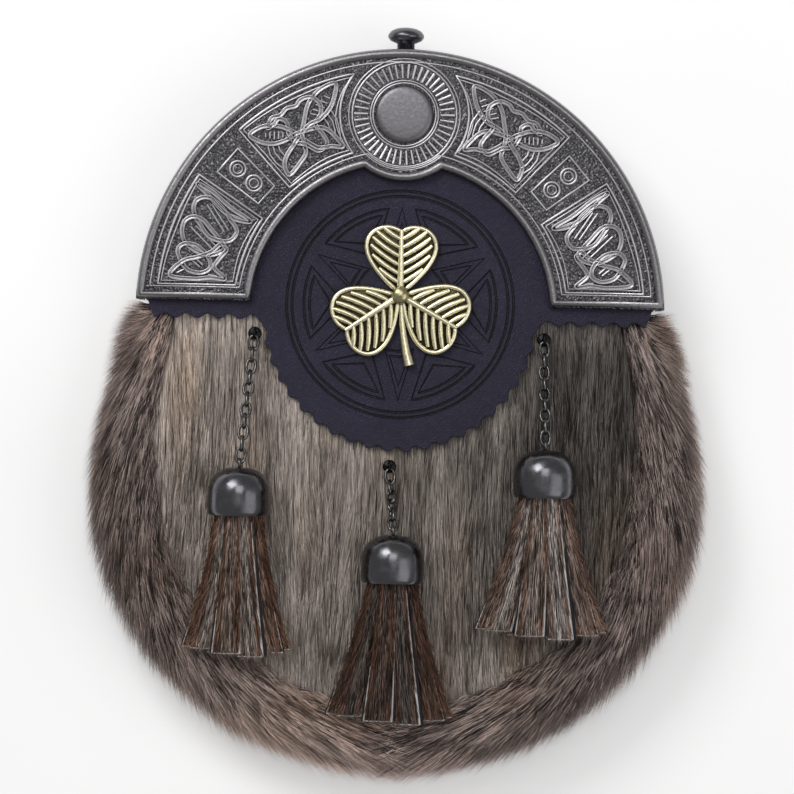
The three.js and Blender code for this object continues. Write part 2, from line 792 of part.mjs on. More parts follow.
// A ring of round wire in the XZ plane, drawn out along X to half the given lengths.
function wireLoop(halfLength, halfWidth, wire, steps, sides) {
  const rings = [];
  for (let k = 0; k < steps; k++) {
    const turn = (2 * Math.PI * k) / steps;
    const centre = new THREE.Vector3(
      halfWidth * Math.sin(turn),
      (halfLength - halfWidth) * Math.sign(Math.round(Math.cos(turn) * 1e6)) +
        halfWidth * Math.cos(turn),
      0,
    );
    const out = new THREE.Vector3(Math.sin(turn), Math.cos(turn), 0);
    const ring = [];
    for (let i = 0; i < sides; i++) {
      const roll = (2 * Math.PI * i) / sides;
      ring.push(
        centre
          .clone()
          .addScaledVector(out, wire * Math.cos(roll))
          .add(new THREE.Vector3(0, 0, wire * Math.sin(roll))),
      );
    }
    rings.push(ring);
  }
  return loft(rings, true);
}

// Chains and tassels: the turn about the arc's centre at which the chain's eye stands, just
// outside the apron, the chain's lean in plan, its links, and how far the strips fan out.
const drops = [
  { side: "left", turn: 189, room: seatGap, lean: -4.5, links: 11, fan: 0.9 },
  { side: "middle", turn: 267.4, room: lowEyeRoom, lean: 4.8, links: 6, fan: 1.1 },
  { side: "right", turn: 350.9, room: seatGap, lean: 1.1, links: 9, fan: 1.15 },
];

// The strips of a tassel, as shares of the tassel's spread, sink, strip width and length, and
// the turn about the bell's axis at which each one leaves it.
const strips = [
  { across: -1, lift: -0.673, width: 1, length: 0.96, around: 190 },
  { across: -0.367, lift: -1, width: 1.125, length: 1, around: 240 },
  { across: 0.367, lift: -1, width: 1.125, length: 1.01, around: 300 },
  { across: 1, lift: -0.673, width: 1, length: 0.97, around: 350 },
  { across: -0.8, lift: -0.385, width: 1, length: 0.97, around: 150 },
  { across: -0.227, lift: 0.077, width: 1.125, length: 1, around: 110 },
  { across: 0.36, lift: 0, width: 1, length: 1.02, around: 70 },
  { across: 0.867, lift: -0.385, width: 0.938, length: 0.99, around: 25 },
];

const domeSteps = 3;

function bell() {
  const inside = bellRadius - bellWall;
  const dome = (radius, height, y, top) => {
    const points = [];
    for (let k = 0; k <= domeSteps; k++) {
      const turn = (Math.PI / 2) * (k / domeSteps);
      points.push([radius * Math.cos(turn) ** 0.72, y + (height - y) * Math.sin(turn)]);
    }
    return top ? points : points.reverse();
  };
  const profile = [
    ...dome(inside, -bellWall, -bellHeight * 0.55, false).map(([r, y], k) => [k === 0 ? 0 : r, y]),
    [inside + 0.1, -bellHeight],
    [bellRadius + 0.2, -bellHeight],
    ...dome(bellRadius, 0, -bellHeight * 0.55, true).map(([r, y], k) => [k === domeSteps ? 0 : r, y]),
  ].map(([r, y]) => new THREE.Vector2(r, y));
  const cup = new THREE.LatheGeometry(profile, 12);
  const eye = wireLoop(eyeRadius, eyeRadius, eyeWire, 8, 4).rotateY(Math.PI / 2);
  return joined([cup, eye.translate(0, eyeRadius - 0.3, 0)]);
}

function tassel(fan) {
  const plug = bellRadius - bellWall - plugGap;
  const head = new THREE.CylinderGeometry(plug, plug, bellHeight * 0.5, 10).translate(
    0,
    -bellHeight * 0.72,
    0,
  );
  const pieces = [head];
  for (const { across, lift, width, length, around } of strips) {
    const turn = degrees(around);
    const from = new THREE.Vector3(
      Math.cos(turn) * plug * 0.62,
      -bellHeight * 0.6,
      Math.sin(turn) * plug * 0.62,
    );
    const end = across * tasselSpread * fan;
    const to = new THREE.Vector3(end, -bellHeight - tasselLength * length, lift * stripSink);
    const mid = new THREE.Vector3(
      end * 0.42,
      -bellHeight - tasselLength * 0.3,
      from.z * 0.45 + to.z * 0.35,
    );
    const curve = new THREE.QuadraticBezierCurve3(from, mid, to);
    const at = (u, v, depth) => {
      const centre = curve.getPoint(1 - v);
      const half = THREE.MathUtils.lerp(width * stripWidth, stripNeck, v) / 2;
      const slope = across * 0.18;
      const side = new THREE.Vector3(Math.cos(slope), 0, -Math.sin(slope));
      const crown = (1 - (2 * u - 1) ** 2) * stripCrown;
      return centre
        .addScaledVector(side, (2 * u - 1) * half)
        .add(new THREE.Vector3(0, 0, depth + crown));
    };
    pieces.push(
      slab(
        2,
        2,
        (u, v) => at(u, v, stripWall / 2),
        (u, v) => at(u, v, -stripWall / 2),
      ),
    );
  }
  return joined(pieces);
}

function hangDrop({ side, turn: eyeTurn, room, lean, links, fan }) {
  const way = degrees(lean);
  const { x, y } = onCircle(apronRadius + anchorFoot + room, degrees(eyeTurn));
  const surface = frontHide(x, y - anchorFoot) + furRoom(x, y) + seatGap;
  const anchorZ = surface + anchorBase + anchorEye + anchorWire;
  const foot = new THREE.CylinderGeometry(anchorFoot, anchorFoot, anchorBase, 8)
    .rotateX(Math.PI / 2)
    .translate(0, 0, -anchorZ + surface + anchorBase / 2);
  const eye = wireLoop(anchorEye, anchorEye, anchorWire, 8, 4).rotateY(Math.PI / 2);
  const post = new THREE.CylinderGeometry(anchorPost, anchorPost, anchorBase + anchorWire, 6)
    .rotateX(Math.PI / 2)
    .translate(0, 0, -anchorEye - anchorPost);
  const anchor = add(`anchor_${side}`, joined([foot, eye, post]), blackWire);
  anchor.position.set(x, y, anchorZ);
  anchor.rotation.z = way;

  // The chain starts at the eye's lower rim and climbs to the bell's axis in its last half.
  const reach = links * linkPitch;
  const endY = y - reach - anchorEye;
  const rest = frontHide(x, endY - bellHeight) + furNap + seatGap;
  const bellZ = rest + bellRest + bellRadius;
  const climb = bellZ - anchorZ;
  const spot = (distance) => {
    const share = distance / reach;
    const rise = climb * THREE.MathUtils.smoothstep(share, 0.1, 1);
    return new THREE.Vector3(x + Math.sin(way) * distance, y - Math.cos(way) * distance, anchorZ + rise);
  };
  // Link centres, stepped so that neighbours keep one pitch in space.
  const start = anchorEye - anchorWire - seatGap + linkInner / 2;
  let travel = start;
  let centre = spot(travel);
  const centres = [centre];
  for (let k = 1; k < links; k++) {
    let step = linkPitch;
    for (let turn = 0; turn < 4; turn++) {
      step *= linkPitch / spot(travel + step).distanceTo(centre);
    }
    travel += step;
    centre = spot(travel);
    centres.push(centre);
  }
  // The eyes at both ends stand upright, so the links turn by near a quarter and end flat.
  const twist = (Math.PI / 2) * (links % 2 ? 1 : (links - 2) / (links - 1));
  const downAt = (k) => {
    const before = centres[k - 1] ?? spot(start - linkPitch);
    const after = centres[k + 1] ?? spot(travel + linkPitch);
    return new THREE.Vector3().subVectors(after, before).normalize();
  };
  centres.forEach((place, k) => {
    const half = linkInner / 2 + linkWire;
    const geometry = wireLoop(half, linkHalf, linkWire, 8, 4).rotateY(twist * k);
    const number = String(k + 1).padStart(2, "0");
    const link = add(`link_${side}_${number}`, geometry, chainSteel);
    link.position.copy(place);
    link.quaternion.setFromUnitVectors(new THREE.Vector3(0, -1, 0), downAt(k));
  });

  // The bell hangs on the last link, its eye one wire and a gap inside it.
  const hung = new THREE.Group();
  const eyeDrop = linkInner / 2 - seatGap - eyeWire + eyeRadius;
  hung.position.copy(centre).addScaledVector(downAt(links - 1), eyeDrop);
  const bellMesh = add(`bell_${side}`, bell(), darkMetal, hung);
  bellMesh.position.y = -(eyeRadius - 0.3);
  const tasselMesh = add(`tassel_${side}`, tassel(fan), tasselFur, hung);
  tasselMesh.position.y = bellMesh.position.y;
  sporran.add(hung);
}

function beltLoop() {
  const top = backZ - seatGap;
  const flat = loopFlat / 2;
  const ramp = flat + loopRamp;
  const end = ramp + loopSewn;
  const under = top - leatherWall;
  const side = [
    [-end, under],
    [-ramp, under],
    [-flat, 0],
    [flat, 0],
    [ramp, under],
    [end, under],
    [end, top],
    [ramp - 0.8, top],
    [flat - 0.8, leatherWall],
    [-flat + 0.8, leatherWall],
    [-ramp + 0.8, top],
    [-end, top],
  ].map(([y, z]) => new THREE.Vector2(y, z));
  const strap = new THREE.ExtrudeGeometry(new THREE.Shape(side), {
    depth: 2 * loopHalf,
    bevelEnabled: false,
  });
  // The profile's X and Y become the part's Y and Z.
  return strap
    .translate(0, 0, -loopHalf)
    .applyMatrix4(new THREE.Matrix4().makeBasis(
      new THREE.Vector3(0, 1, 0),
      new THREE.Vector3(0, 0, 1),
      new THREE.Vector3(1, 0, 0),
    ));
}

add("back_panel", backPanel(), blackLeather);
for (const [side, way] of [["left", -1], ["right", 1]]) {
  add(`belt_loop_${side}`, beltLoop(), blackLeather).position.set(way * loopX, loopY, 0);
}
add("gusset_band", gussetBand(), darkFur);
add("front_panel", frontPanel(), paleFur);
add("apron", apron(), navyLeather);
add("cantle", cantle(), antiqueSilver);
add("knob", knob(), darkMetal);
add("badge", badge(), antiqueBrass);
drops.forEach(hangDrop);

const middle = new THREE.Box3().setFromObject(sporran, true).getCenter(new THREE.Vector3());
sporran.position.set(-middle.x, -middle.y, 0);

export default sporran;
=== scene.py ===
# A full dress sporran on a pale floor: fur pouch, cast cantle, pinked apron, shamrock badge
# and three fur tassels on chains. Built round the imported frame, in metres.
import math

import bmesh
import bpy
import numpy as np
from mathutils import Matrix, Vector


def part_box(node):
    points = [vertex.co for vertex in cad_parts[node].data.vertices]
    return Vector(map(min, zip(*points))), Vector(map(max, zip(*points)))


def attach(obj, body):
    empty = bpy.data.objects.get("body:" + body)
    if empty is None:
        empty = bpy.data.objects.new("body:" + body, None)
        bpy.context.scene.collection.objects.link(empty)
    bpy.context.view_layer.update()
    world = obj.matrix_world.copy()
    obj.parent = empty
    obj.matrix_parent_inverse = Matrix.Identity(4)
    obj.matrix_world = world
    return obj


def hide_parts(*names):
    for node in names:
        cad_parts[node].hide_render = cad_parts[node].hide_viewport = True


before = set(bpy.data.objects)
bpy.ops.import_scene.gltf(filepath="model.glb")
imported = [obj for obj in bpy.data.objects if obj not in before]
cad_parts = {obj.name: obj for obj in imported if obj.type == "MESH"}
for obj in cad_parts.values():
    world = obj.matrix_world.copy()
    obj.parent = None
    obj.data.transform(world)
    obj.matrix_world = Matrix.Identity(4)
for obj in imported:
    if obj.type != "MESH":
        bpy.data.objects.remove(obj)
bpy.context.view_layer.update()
mm = 0.001
rng = np.random.default_rng(7)

# The drawing's centre is the centre of the cantle's arc, 95 mm below the knob's top.
knobLow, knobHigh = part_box("knob")
arcX = (knobLow.x + knobHigh.x) / 2
arcY = knobHigh.y - 95 * mm
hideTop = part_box("apron")[0].z / mm - 0.7  # the front hide's face, in mm
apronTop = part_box("apron")[1].z / mm
plateBack = apronTop + 0.3
faceZ = plateBack + 2.2
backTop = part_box("back_panel")[1].z / mm


def polar(radius, angle, x=0.0, y=0.0):  # angle in degrees
    return x + radius * math.cos(math.radians(angle)), y + radius * math.sin(math.radians(angle))


def arc(radius, start, stop, count, x=0.0, y=0.0):
    return [polar(radius, a, x, y) for a in np.linspace(start, stop, count)]


def angleAt(height, radius):  # degrees at which a circle reaches that height
    return math.degrees(math.asin(height / radius))


def toFrame(mesh):  # drawing millimetres to the frame's metres
    mesh.transform(Matrix.Translation((arcX, arcY, 0)) @ Matrix.Scale(mm, 4))


def addObject(name, data):
    made = bpy.data.objects.new(name, data)
    bpy.context.collection.objects.link(made)
    return made


def meshOf(bm, name):
    mesh = bpy.data.meshes.new(name)
    bm.to_mesh(mesh)
    bm.free()
    return mesh


def evaluated(holder):
    bpy.context.view_layer.update()
    return bpy.data.meshes.new_from_object(holder.evaluated_get(bpy.context.evaluated_depsgraph_get()))


def unit(vectors):
    return vectors / np.linalg.norm(vectors, axis=1, keepdims=True)


def addPiece(name, mesh, materials, nodes=(), body="root", smooth=True, drawn=True):
    if drawn:
        toFrame(mesh)
    for material in materials:
        mesh.materials.append(material)
    if smooth:
        mesh.polygons.foreach_set("use_smooth", [True] * len(mesh.polygons))
    piece = addObject(name, mesh)
    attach(piece, body)
    if nodes:
        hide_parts(*nodes)
    return piece


def outwards(bm):
    bmesh.ops.recalc_face_normals(bm, faces=bm.faces)


def finishMesh(bm, name, flatAngle=40):
    bmesh.ops.remove_doubles(bm, verts=bm.verts, dist=1e-4)
    outwards(bm)
    for edge in bm.edges:
        if len(edge.link_faces) == 2 and edge.calc_face_angle(0) > math.radians(flatAngle):
            edge.smooth = False
    return meshOf(bm, name)


def bevelEdges(bm, edges, offset, segments):
    bmesh.ops.bevel(bm, geom=edges, offset=offset, offset_type="OFFSET", affect="EDGES", segments=segments,
                    profile=0.5, material=-1, clamp_overlap=True)


def plate(bm, outline, low, high, bevel=0.0, segments=3):  # a flat plate, its top edge rounded
    part = bmesh.new()
    face = part.faces.new([part.verts.new((x, y, low)) for x, y in outline])
    top = bmesh.ops.extrude_face_region(part, geom=[face])["geom"]
    topVerts = [g for g in top if isinstance(g, bmesh.types.BMVert)]
    bmesh.ops.translate(part, verts=topVerts, vec=(0, 0, high - low))
    if bevel:
        onTop = set(topVerts)
        bevelEdges(part, [e for e in part.edges if all(v in onTop for v in e.verts)], bevel, segments)
    outwards(part)
    join(bm, part)


def join(bm, part):
    mesh = meshOf(part, "part")
    bm.from_mesh(mesh)
    bpy.data.meshes.remove(mesh)


def wire(bm, points, radius, closed=False, profile=None, sides=2, taper=None):
    curve = bpy.data.curves.new("wire", "CURVE")
    curve.dimensions = "3D"
    curve.twist_mode = "Z_UP"
    curve.use_fill_caps = True
    curve.bevel_resolution = sides
    if profile:
        curve.bevel_mode = "OBJECT"
        curve.bevel_object = profile
    else:
        curve.bevel_depth = radius
    spline = curve.splines.new("POLY")
    spline.points.add(len(points) - 1)
    for k, p in enumerate(points):
        spline.points[k].co = (*p, 1)
        spline.points[k].radius = taper[k] if taper else 1
    spline.use_cyclic_u = closed
    holder = addObject("wire", curve)
    mesh = evaluated(holder)
    bm.from_mesh(mesh)
    bpy.data.objects.remove(holder)
    bpy.data.curves.remove(curve)
    bpy.data.meshes.remove(mesh)


def turned(bm, profile, steps=48, centre=(0, 0, 0), axis=(0, 0, 1)):
    part = bmesh.new()
    along = Vector(axis)
    out = along.orthogonal().normalized()
    verts = [part.verts.new(Vector(centre) + out * r + along * h) for r, h in profile]
    edges = [part.edges.new(pair) for pair in zip(verts, verts[1:])]
    bmesh.ops.spin(part, geom=verts + edges, cent=centre, axis=axis, dvec=(0, 0, 0),
                   angle=2 * math.pi, steps=steps, use_merge=True, use_duplicate=False)
    bmesh.ops.remove_doubles(part, verts=part.verts, dist=1e-4)
    outwards(part)
    join(bm, part)


# Materials
def setInputs(shader, **values):
    for key, value in values.items():
        shader.inputs[key.replace("_", " ")].default_value = value


def newMaterial(name, colour, roughness, metallic=0.0):
    material = bpy.data.materials.new(name)
    material.use_nodes = True
    shader = material.node_tree.nodes["Principled BSDF"]
    setInputs(shader, Base_Color=(*colour, 1), Roughness=roughness, Metallic=metallic)
    return material, material.node_tree, shader


def node(tree, kind, **values):
    made = tree.nodes.new(kind)
    for key, value in values.items():
        if hasattr(made, key):
            setattr(made, key, value)
        else:
            setInputs(made, **{key: value})
    return made


def onObject(tree, texture):  # laid out on Object coordinates
    place = node(tree, "ShaderNodeTexCoord")
    tree.links.new(place.outputs["Object"], texture.inputs["Vector"])
    return texture


def noiseOn(tree, scale, detail=3.0, stretch=(1, 1, 1)):
    mapping = onObject(tree, node(tree, "ShaderNodeMapping", Scale=stretch))
    noise = node(tree, "ShaderNodeTexNoise", Scale=scale, Detail=detail)
    tree.links.new(mapping.outputs["Vector"], noise.inputs["Vector"])
    return noise.outputs["Fac"]


def ramp(tree, source, stops):
    made = node(tree, "ShaderNodeValToRGB")
    for k, (at, colour) in enumerate(stops):
        element = made.color_ramp.elements[k] if k < 2 else made.color_ramp.elements.new(at)
        element.position = at
        element.color = (*colour, 1) if len(colour) == 3 else colour
    tree.links.new(source, made.inputs["Fac"])
    return made.outputs["Color"]


def addBump(tree, shader, height, distance, strength=1.0):
    bump = node(tree, "ShaderNodeBump", Strength=strength, Distance=distance)
    tree.links.new(height, bump.inputs["Height"])
    tree.links.new(bump.outputs["Normal"], shader.inputs["Normal"])


def patinaAndShadeMetal(name, look):  # bright edges and ridges, dark hollows: partly the metal's patina, partly painted shade from ambient occlusion
    material, tree, shader = newMaterial(name, look["bright"], look["roughness"], 1.0)
    # ambient occlusion darkens the hollows: real patina and painted shade together
    hollowPatinaAndShade = node(tree, "ShaderNodeAmbientOcclusion", Distance=look["reach"], samples=8)
    worn = noiseOn(tree, 260, 4)
    mixed = node(tree, "ShaderNodeMath", operation="MULTIPLY_ADD")
    tree.links.new(worn, mixed.inputs[0])
    mixed.inputs[1].default_value = look["mottle"]
    tree.links.new(hollowPatinaAndShade.outputs["AO"], mixed.inputs[2])
    stops = [(look["from"], look["dark"]), (look["to"], look["bright"])]
    tree.links.new(ramp(tree, mixed.outputs[0], stops), shader.inputs["Base Color"])
    rough = ramp(tree, noiseOn(tree, 900, 2), [(0.3, (look["roughness"] - 0.08,) * 3),
                                               (0.7, (look["roughness"] + 0.1,) * 3)])
    tree.links.new(rough, shader.inputs["Roughness"])
    addBump(tree, shader, noiseOn(tree, look["grain"], 2), 0.0002, look["bump"])
    return material


silverLook = {"bright": (0.6, 0.58, 0.6), "dark": (0.008, 0.007, 0.008), "roughness": 0.34,
              "reach": 0.8 * mm, "mottle": 0.3, "from": 0.62, "to": 1.15, "grain": 1100, "bump": 0.25}
rimLook = dict(silverLook, bright=(0.28, 0.27, 0.28), mottle=0.5, bump=0.35)
bossLook = dict(silverLook, bright=(0.19, 0.184, 0.195), roughness=0.4, mottle=0.6)
stippleLook = dict(silverLook, bright=(0.12, 0.116, 0.124), bump=0.0, mottle=0.5)
brassLook = {"bright": (0.98, 0.9, 0.62), "dark": (0.02, 0.017, 0.01), "roughness": 0.3,
             "reach": 1.1 * mm, "mottle": 0.25, "from": 0.55, "to": 1.05, "grain": 900, "bump": 0.2}
groundLook = dict(brassLook, bright=(0.07, 0.06, 0.036), dark=(0.008, 0.007, 0.005))
silver = patinaAndShadeMetal("silverPatinaAndShade", silverLook)
rimSilver = patinaAndShadeMetal("rimSilver", rimLook)
bossSilver = patinaAndShadeMetal("bossSilver", bossLook)
stipple = patinaAndShadeMetal("stippledGround", stippleLook)
brass = patinaAndShadeMetal("brassPatinaAndShade", brassLook)
brassGround = patinaAndShadeMetal("brassGround", groundLook)

# The cantle's ground is hammered with fine dots
dotTree = stipple.node_tree
dots = onObject(dotTree, node(dotTree, "ShaderNodeTexVoronoi", feature="SMOOTH_F1", Scale=1250))
dotHeight = ramp(dotTree, dots.outputs["Distance"], [(0.1, (1, 1, 1)), (0.75, (0, 0, 0))])
addBump(dotTree, dotTree.nodes["Principled BSDF"], dotHeight, 0.0006, 0.9)


def plainMetal(name, colour, roughness, scratch):
    material, tree, shader = newMaterial(name, colour, roughness, 1.0)
    rough = ramp(tree, noiseOn(tree, 350, 5), [(0.35, (roughness * 0.7,) * 3), (0.7, (roughness * 1.5,) * 3)])
    tree.links.new(rough, shader.inputs["Roughness"])
    addBump(tree, shader, noiseOn(tree, 1500, 2), 0.0001, scratch)
    return material


darkMetal = plainMetal("darkPolishedMetal", (0.14, 0.14, 0.152), 0.24, 0.03)
chainSteel = plainMetal("chainSteel", (0.14, 0.137, 0.135), 0.22, 0.05)
blackWire = plainMetal("blackWire", (0.02, 0.02, 0.022), 0.35, 0.05)
ballBrass = plainMetal("ballBrass", (0.5, 0.45, 0.27), 0.26, 0.1)


def leather(name, colour, pale, grain):
    material, tree, shader = newMaterial(name, colour, 0.52)
    stops = [(0.35, colour), (0.75, pale)]
    tree.links.new(ramp(tree, noiseOn(tree, 60, 6), stops), shader.inputs["Base Color"])
    cells = onObject(tree, node(tree, "ShaderNodeTexVoronoi", feature="DISTANCE_TO_EDGE", Scale=grain))
    soft = ramp(tree, cells.outputs["Distance"], [(0.0, (0, 0, 0)), (0.25, (1, 1, 1))])
    addBump(tree, shader, soft, 0.0003, 0.5)
    setInputs(shader, Specular_IOR_Level=0.35)
    return material


navyLeather = leather("navyLeather", (0.0165, 0.0142, 0.033), (0.0235, 0.0205, 0.047), 1500)
blackLeather = leather("blackLeather", (0.012, 0.011, 0.012), (0.022, 0.02, 0.02), 1300)
cutEdge = leather("cutEdge", (0.055, 0.06, 0.12), (0.08, 0.085, 0.15), 1500)
whiteHide = leather("whiteHide", (0.56, 0.54, 0.53), (0.74, 0.72, 0.7), 1200)
pressedLeather = leather("pressedLeather", (0.006, 0.005, 0.009), (0.009, 0.008, 0.013), 1500)
suede = leather("navySuede", (0.008, 0.009, 0.014), (0.014, 0.015, 0.022), 2200)

furHair, furTree, furShader = newMaterial("furHair", (0.2, 0.17, 0.15), 0.42)
tintNode = node(furTree, "ShaderNodeAttribute", attribute_name="tint")
furTree.links.new(tintNode.outputs["Color"], furShader.inputs["Base Color"])
setInputs(furShader, Specular_IOR_Level=0.45)


def underFur(name, dark, pale):
    material, tree, shader = newMaterial(name, dark, 0.8)
    streak = noiseOn(tree, 220, 4, (1, 0.15, 1))
    tree.links.new(ramp(tree, streak, [(0.3, dark), (0.75, pale)]), shader.inputs["Base Color"])
    addBump(tree, shader, streak, 0.001, 0.6)
    return material


paleHide = underFur("paleUnderfur", (0.06, 0.052, 0.047), (0.16, 0.14, 0.125))
darkHide = underFur("darkUnderfur", (0.012, 0.009, 0.008), (0.06, 0.048, 0.04))
stripHide = underFur("stripUnderfur", (0.02, 0.012, 0.008), (0.09, 0.065, 0.048))
thread = newMaterial("thread", (0.03, 0.029, 0.03), 0.7)[0]
print("materials ready")

# Camera, lights and floor
view = {"height": 1.15, "width": 262 * mm, "lookX": -0.33, "lookY": -27.5, "roll": 1.3, "level": 22 * mm}
lookAt = Vector((arcX + view["lookX"] * mm, arcY + view["lookY"] * mm, view["level"]))
cameraData = bpy.data.cameras.new("camera")
cameraData.angle = 2 * math.atan(view["width"] / 2 / view["height"])
camera = addObject("camera", cameraData)
camera.location = lookAt + Vector((0, 0, view["height"]))
camera.rotation_euler = (0, 0, math.radians(view["roll"]))
bpy.context.scene.camera = camera

lightTable = [  # name, place from the sporran's middle, size and power
    ("key", (-0.55, 0.75, 0.95), 0.6, 7.2),
    ("fill", (0.8, -0.25, 0.9), 0.9, 2.6),
    ("top", (0.05, 0.5, 1.5), 0.7, 3.6),
]
for name, spot, size, power in lightTable:
    data = bpy.data.lights.new(name, "AREA")
    data.size = size
    data.energy = power
    lamp = addObject(name, data)
    lamp.location = Vector((arcX, arcY - 0.03, 0)) + Vector(spot)
    aim = Vector((arcX, arcY - 0.03, 0.02)) - lamp.location
    lamp.rotation_euler = aim.to_track_quat("-Z", "Y").to_euler()
world = bpy.data.worlds.new("studio")
world.use_nodes = True
setInputs(world.node_tree.nodes["Background"], Color=(1, 1, 1, 1), Strength=0.27)
bpy.context.scene.world = world
bpy.context.scene.view_settings.view_transform = "Standard"

floorMesh = bmesh.new()
bmesh.ops.create_grid(floorMesh, x_segments=1, y_segments=1, size=1.6)
floorData = meshOf(floorMesh, "floor")
floorData.transform(Matrix.Translation((0, 0, -0.2 * mm)))  # just clear of the belt loops
paleFloor, floorTree, floorShader = newMaterial("paleFloor", (0.86, 0.86, 0.86), 0.75)
floorTint = ramp(floorTree, noiseOn(floorTree, 6, 2), [(0.3, (0.84, 0.84, 0.84)), (0.7, (0.88, 0.88, 0.88))])
floorTree.links.new(floorTint, floorShader.inputs["Base Color"])
setInputs(floorShader, Emission_Color=(1, 1, 1, 1), Emission_Strength=0.3)
floorData.materials.append(paleFloor)
addObject("floor", floorData)
print("studio ready")

# Cantle
cantleSize = {"outer": 87.0, "inner": 49.2, "foot": 3.0, "bossY": 65.4, "lobe": 22.0, "rimWall": 1.8,
              "rimBack": 7.6, "bead": 1.45}
bossSize = {"dome": [(0, 1.15), (4, 1.12), (7.4, 1.02), (8.7, 0.9), (9.25, 0.6), (9.5, 0.1), (9.5, -0.6)],
            "rings": ((10.35, 0.34), (11.15, 0.3), (17.15, 0.4), (18.3, 0.26)),
            "bars": 46, "barRadii": (11.9, 14.2, 16.6), "bar": 0.6}
panelSize = {"inner": 54.9, "outer": 80.2, "round": 21.2, "foot": 8, "lowTop": 146.6, "highLow": 132.6,
             "squareRadii": (58.8, 76.0), "squareTurns": (135.8, 143.6), "frame": 0.5, "line": 0.3,
             "inset": 1.5, "studRadii": (64.3, 71.4), "studTurn": 139.6,
             "studRings": ((2.6, 0.45), (1.5, 0.25))}


def cantleOutline(inset, count=120):
    outer = cantleSize["outer"] - inset
    inner = cantleSize["inner"] + inset
    lobe = cantleSize["lobe"] - inset
    bossY = cantleSize["bossY"]
    foot = cantleSize["foot"] + inset
    meetY = (inner**2 - lobe**2 + bossY**2) / (2 * bossY)
    meet = math.degrees(math.acos(meetY / inner))
    lobeMeet = angleAt(bossY - meetY, lobe)
    outerFoot, innerFoot = angleAt(foot, outer), angleAt(foot, inner)
    third = count // 3
    return (arc(outer, outerFoot, 180 - outerFoot, count)
            + arc(inner, 180 - innerFoot, 90 + meet, third)
            + arc(lobe, lobeMeet - 180, -lobeMeet, third // 2 * 2, 0, bossY)[1:]
            + arc(inner, 90 - meet, innerFoot, third)[1:])


def level(points, z):
    return [(x, y, z) for x, y in points]


def closedSpline(points, perSpan=10):  # a smooth closed line through a few points
    pts = np.array(points, float)
    n = len(pts)
    out = []
    for k in range(n):
        a, b, c, d = pts[k - 1], pts[k], pts[(k + 1) % n], pts[(k + 2) % n]
        for t in np.arange(perSpan) / perSpan:
            out.append(0.5 * (2 * b + (c - a) * t + (2 * a - 5 * b + 4 * c - d) * t**2
                              + (3 * b - a - 3 * c + d) * t**3))
    return [tuple(p) for p in out]


def woven(strands, rise=0.3, spread=1.3):  # strands pass over and under by turns
    crossings = []
    for s, first in enumerate(strands):
        for t in range(s, len(strands)):
            p, q = np.array(first), np.array(strands[t])
            r, w = np.roll(p, -1, 0) - p, np.roll(q, -1, 0) - q
            for i in range(len(p)):
                cross = r[i, 0] * w[:, 1] - r[i, 1] * w[:, 0]
                gap = q - p[i]
                with np.errstate(divide="ignore", invalid="ignore"):
                    a = (gap[:, 0] * w[:, 1] - gap[:, 1] * w[:, 0]) / cross
                    b = (gap[:, 0] * r[i, 1] - gap[:, 1] * r[i, 0]) / cross
                for j in np.where((a >= 0) & (a < 1) & (b >= 0) & (b < 1))[0]:
                    if s == t and (j <= i + 1 or (i == 0 and j == len(p) - 1)):
                        continue
                    crossings.append((s, i + a[j], t, j + b[j], p[i] + r[i] * a[j]))
    visits = {s: [] for s in range(len(strands))}
    for k, (s, a, t, b, _) in enumerate(crossings):
        visits[s].append((a, k, 0))
        visits[t].append((b, k, 1))
    signs = {}
    for s in range(len(strands)):
        ordered = sorted(visits[s])
        start = 1
        for n, (_, k, end) in enumerate(ordered):
            if (k, 1 - end) in signs:
                start = -signs[(k, 1 - end)] * (-1) ** n
                break
        for n, (_, k, end) in enumerate(ordered):
            signs[(k, end)] = start * (-1) ** n
    raised = []
    for s, strand in enumerate(strands):
        pts = np.array(strand)
        count = len(pts)
        z = np.zeros(count)
        for at, k, end in visits[s]:
            centre = crossings[k][4]
            away = np.linalg.norm(pts - centre, axis=1)
            steps = np.abs((np.arange(count) - at + count / 2) % count - count / 2)
            near = np.exp(-((away / spread) ** 2)) * (steps < count / 6)
            z += signs[(k, end)] * rise * near
        raised.append([(x, y, dz) for (x, y), dz in zip(strand, z)])
    return raised


def strandProfile(name, width, rise):  # two ridges with a groove between
    curve = bpy.data.curves.new(name, "CURVE")
    curve.dimensions = "2D"
    spline = curve.splines.new("POLY")
    w = width / 2
    shape = [(-w, -0.6), (-w * 0.95, rise * 0.6), (-w * 0.75, rise), (-w * 0.5, rise * 0.9), (0, 0),
             (w * 0.5, rise * 0.9), (w * 0.75, rise), (w * 0.95, rise * 0.6), (w, -0.6)]
    spline.points.add(len(shape) - 1)
    for k, (x, y) in enumerate(shape):
        spline.points[k].co = (x, y, 0, 1)
    spline.use_cyclic_u = True
    return addObject(name, curve)


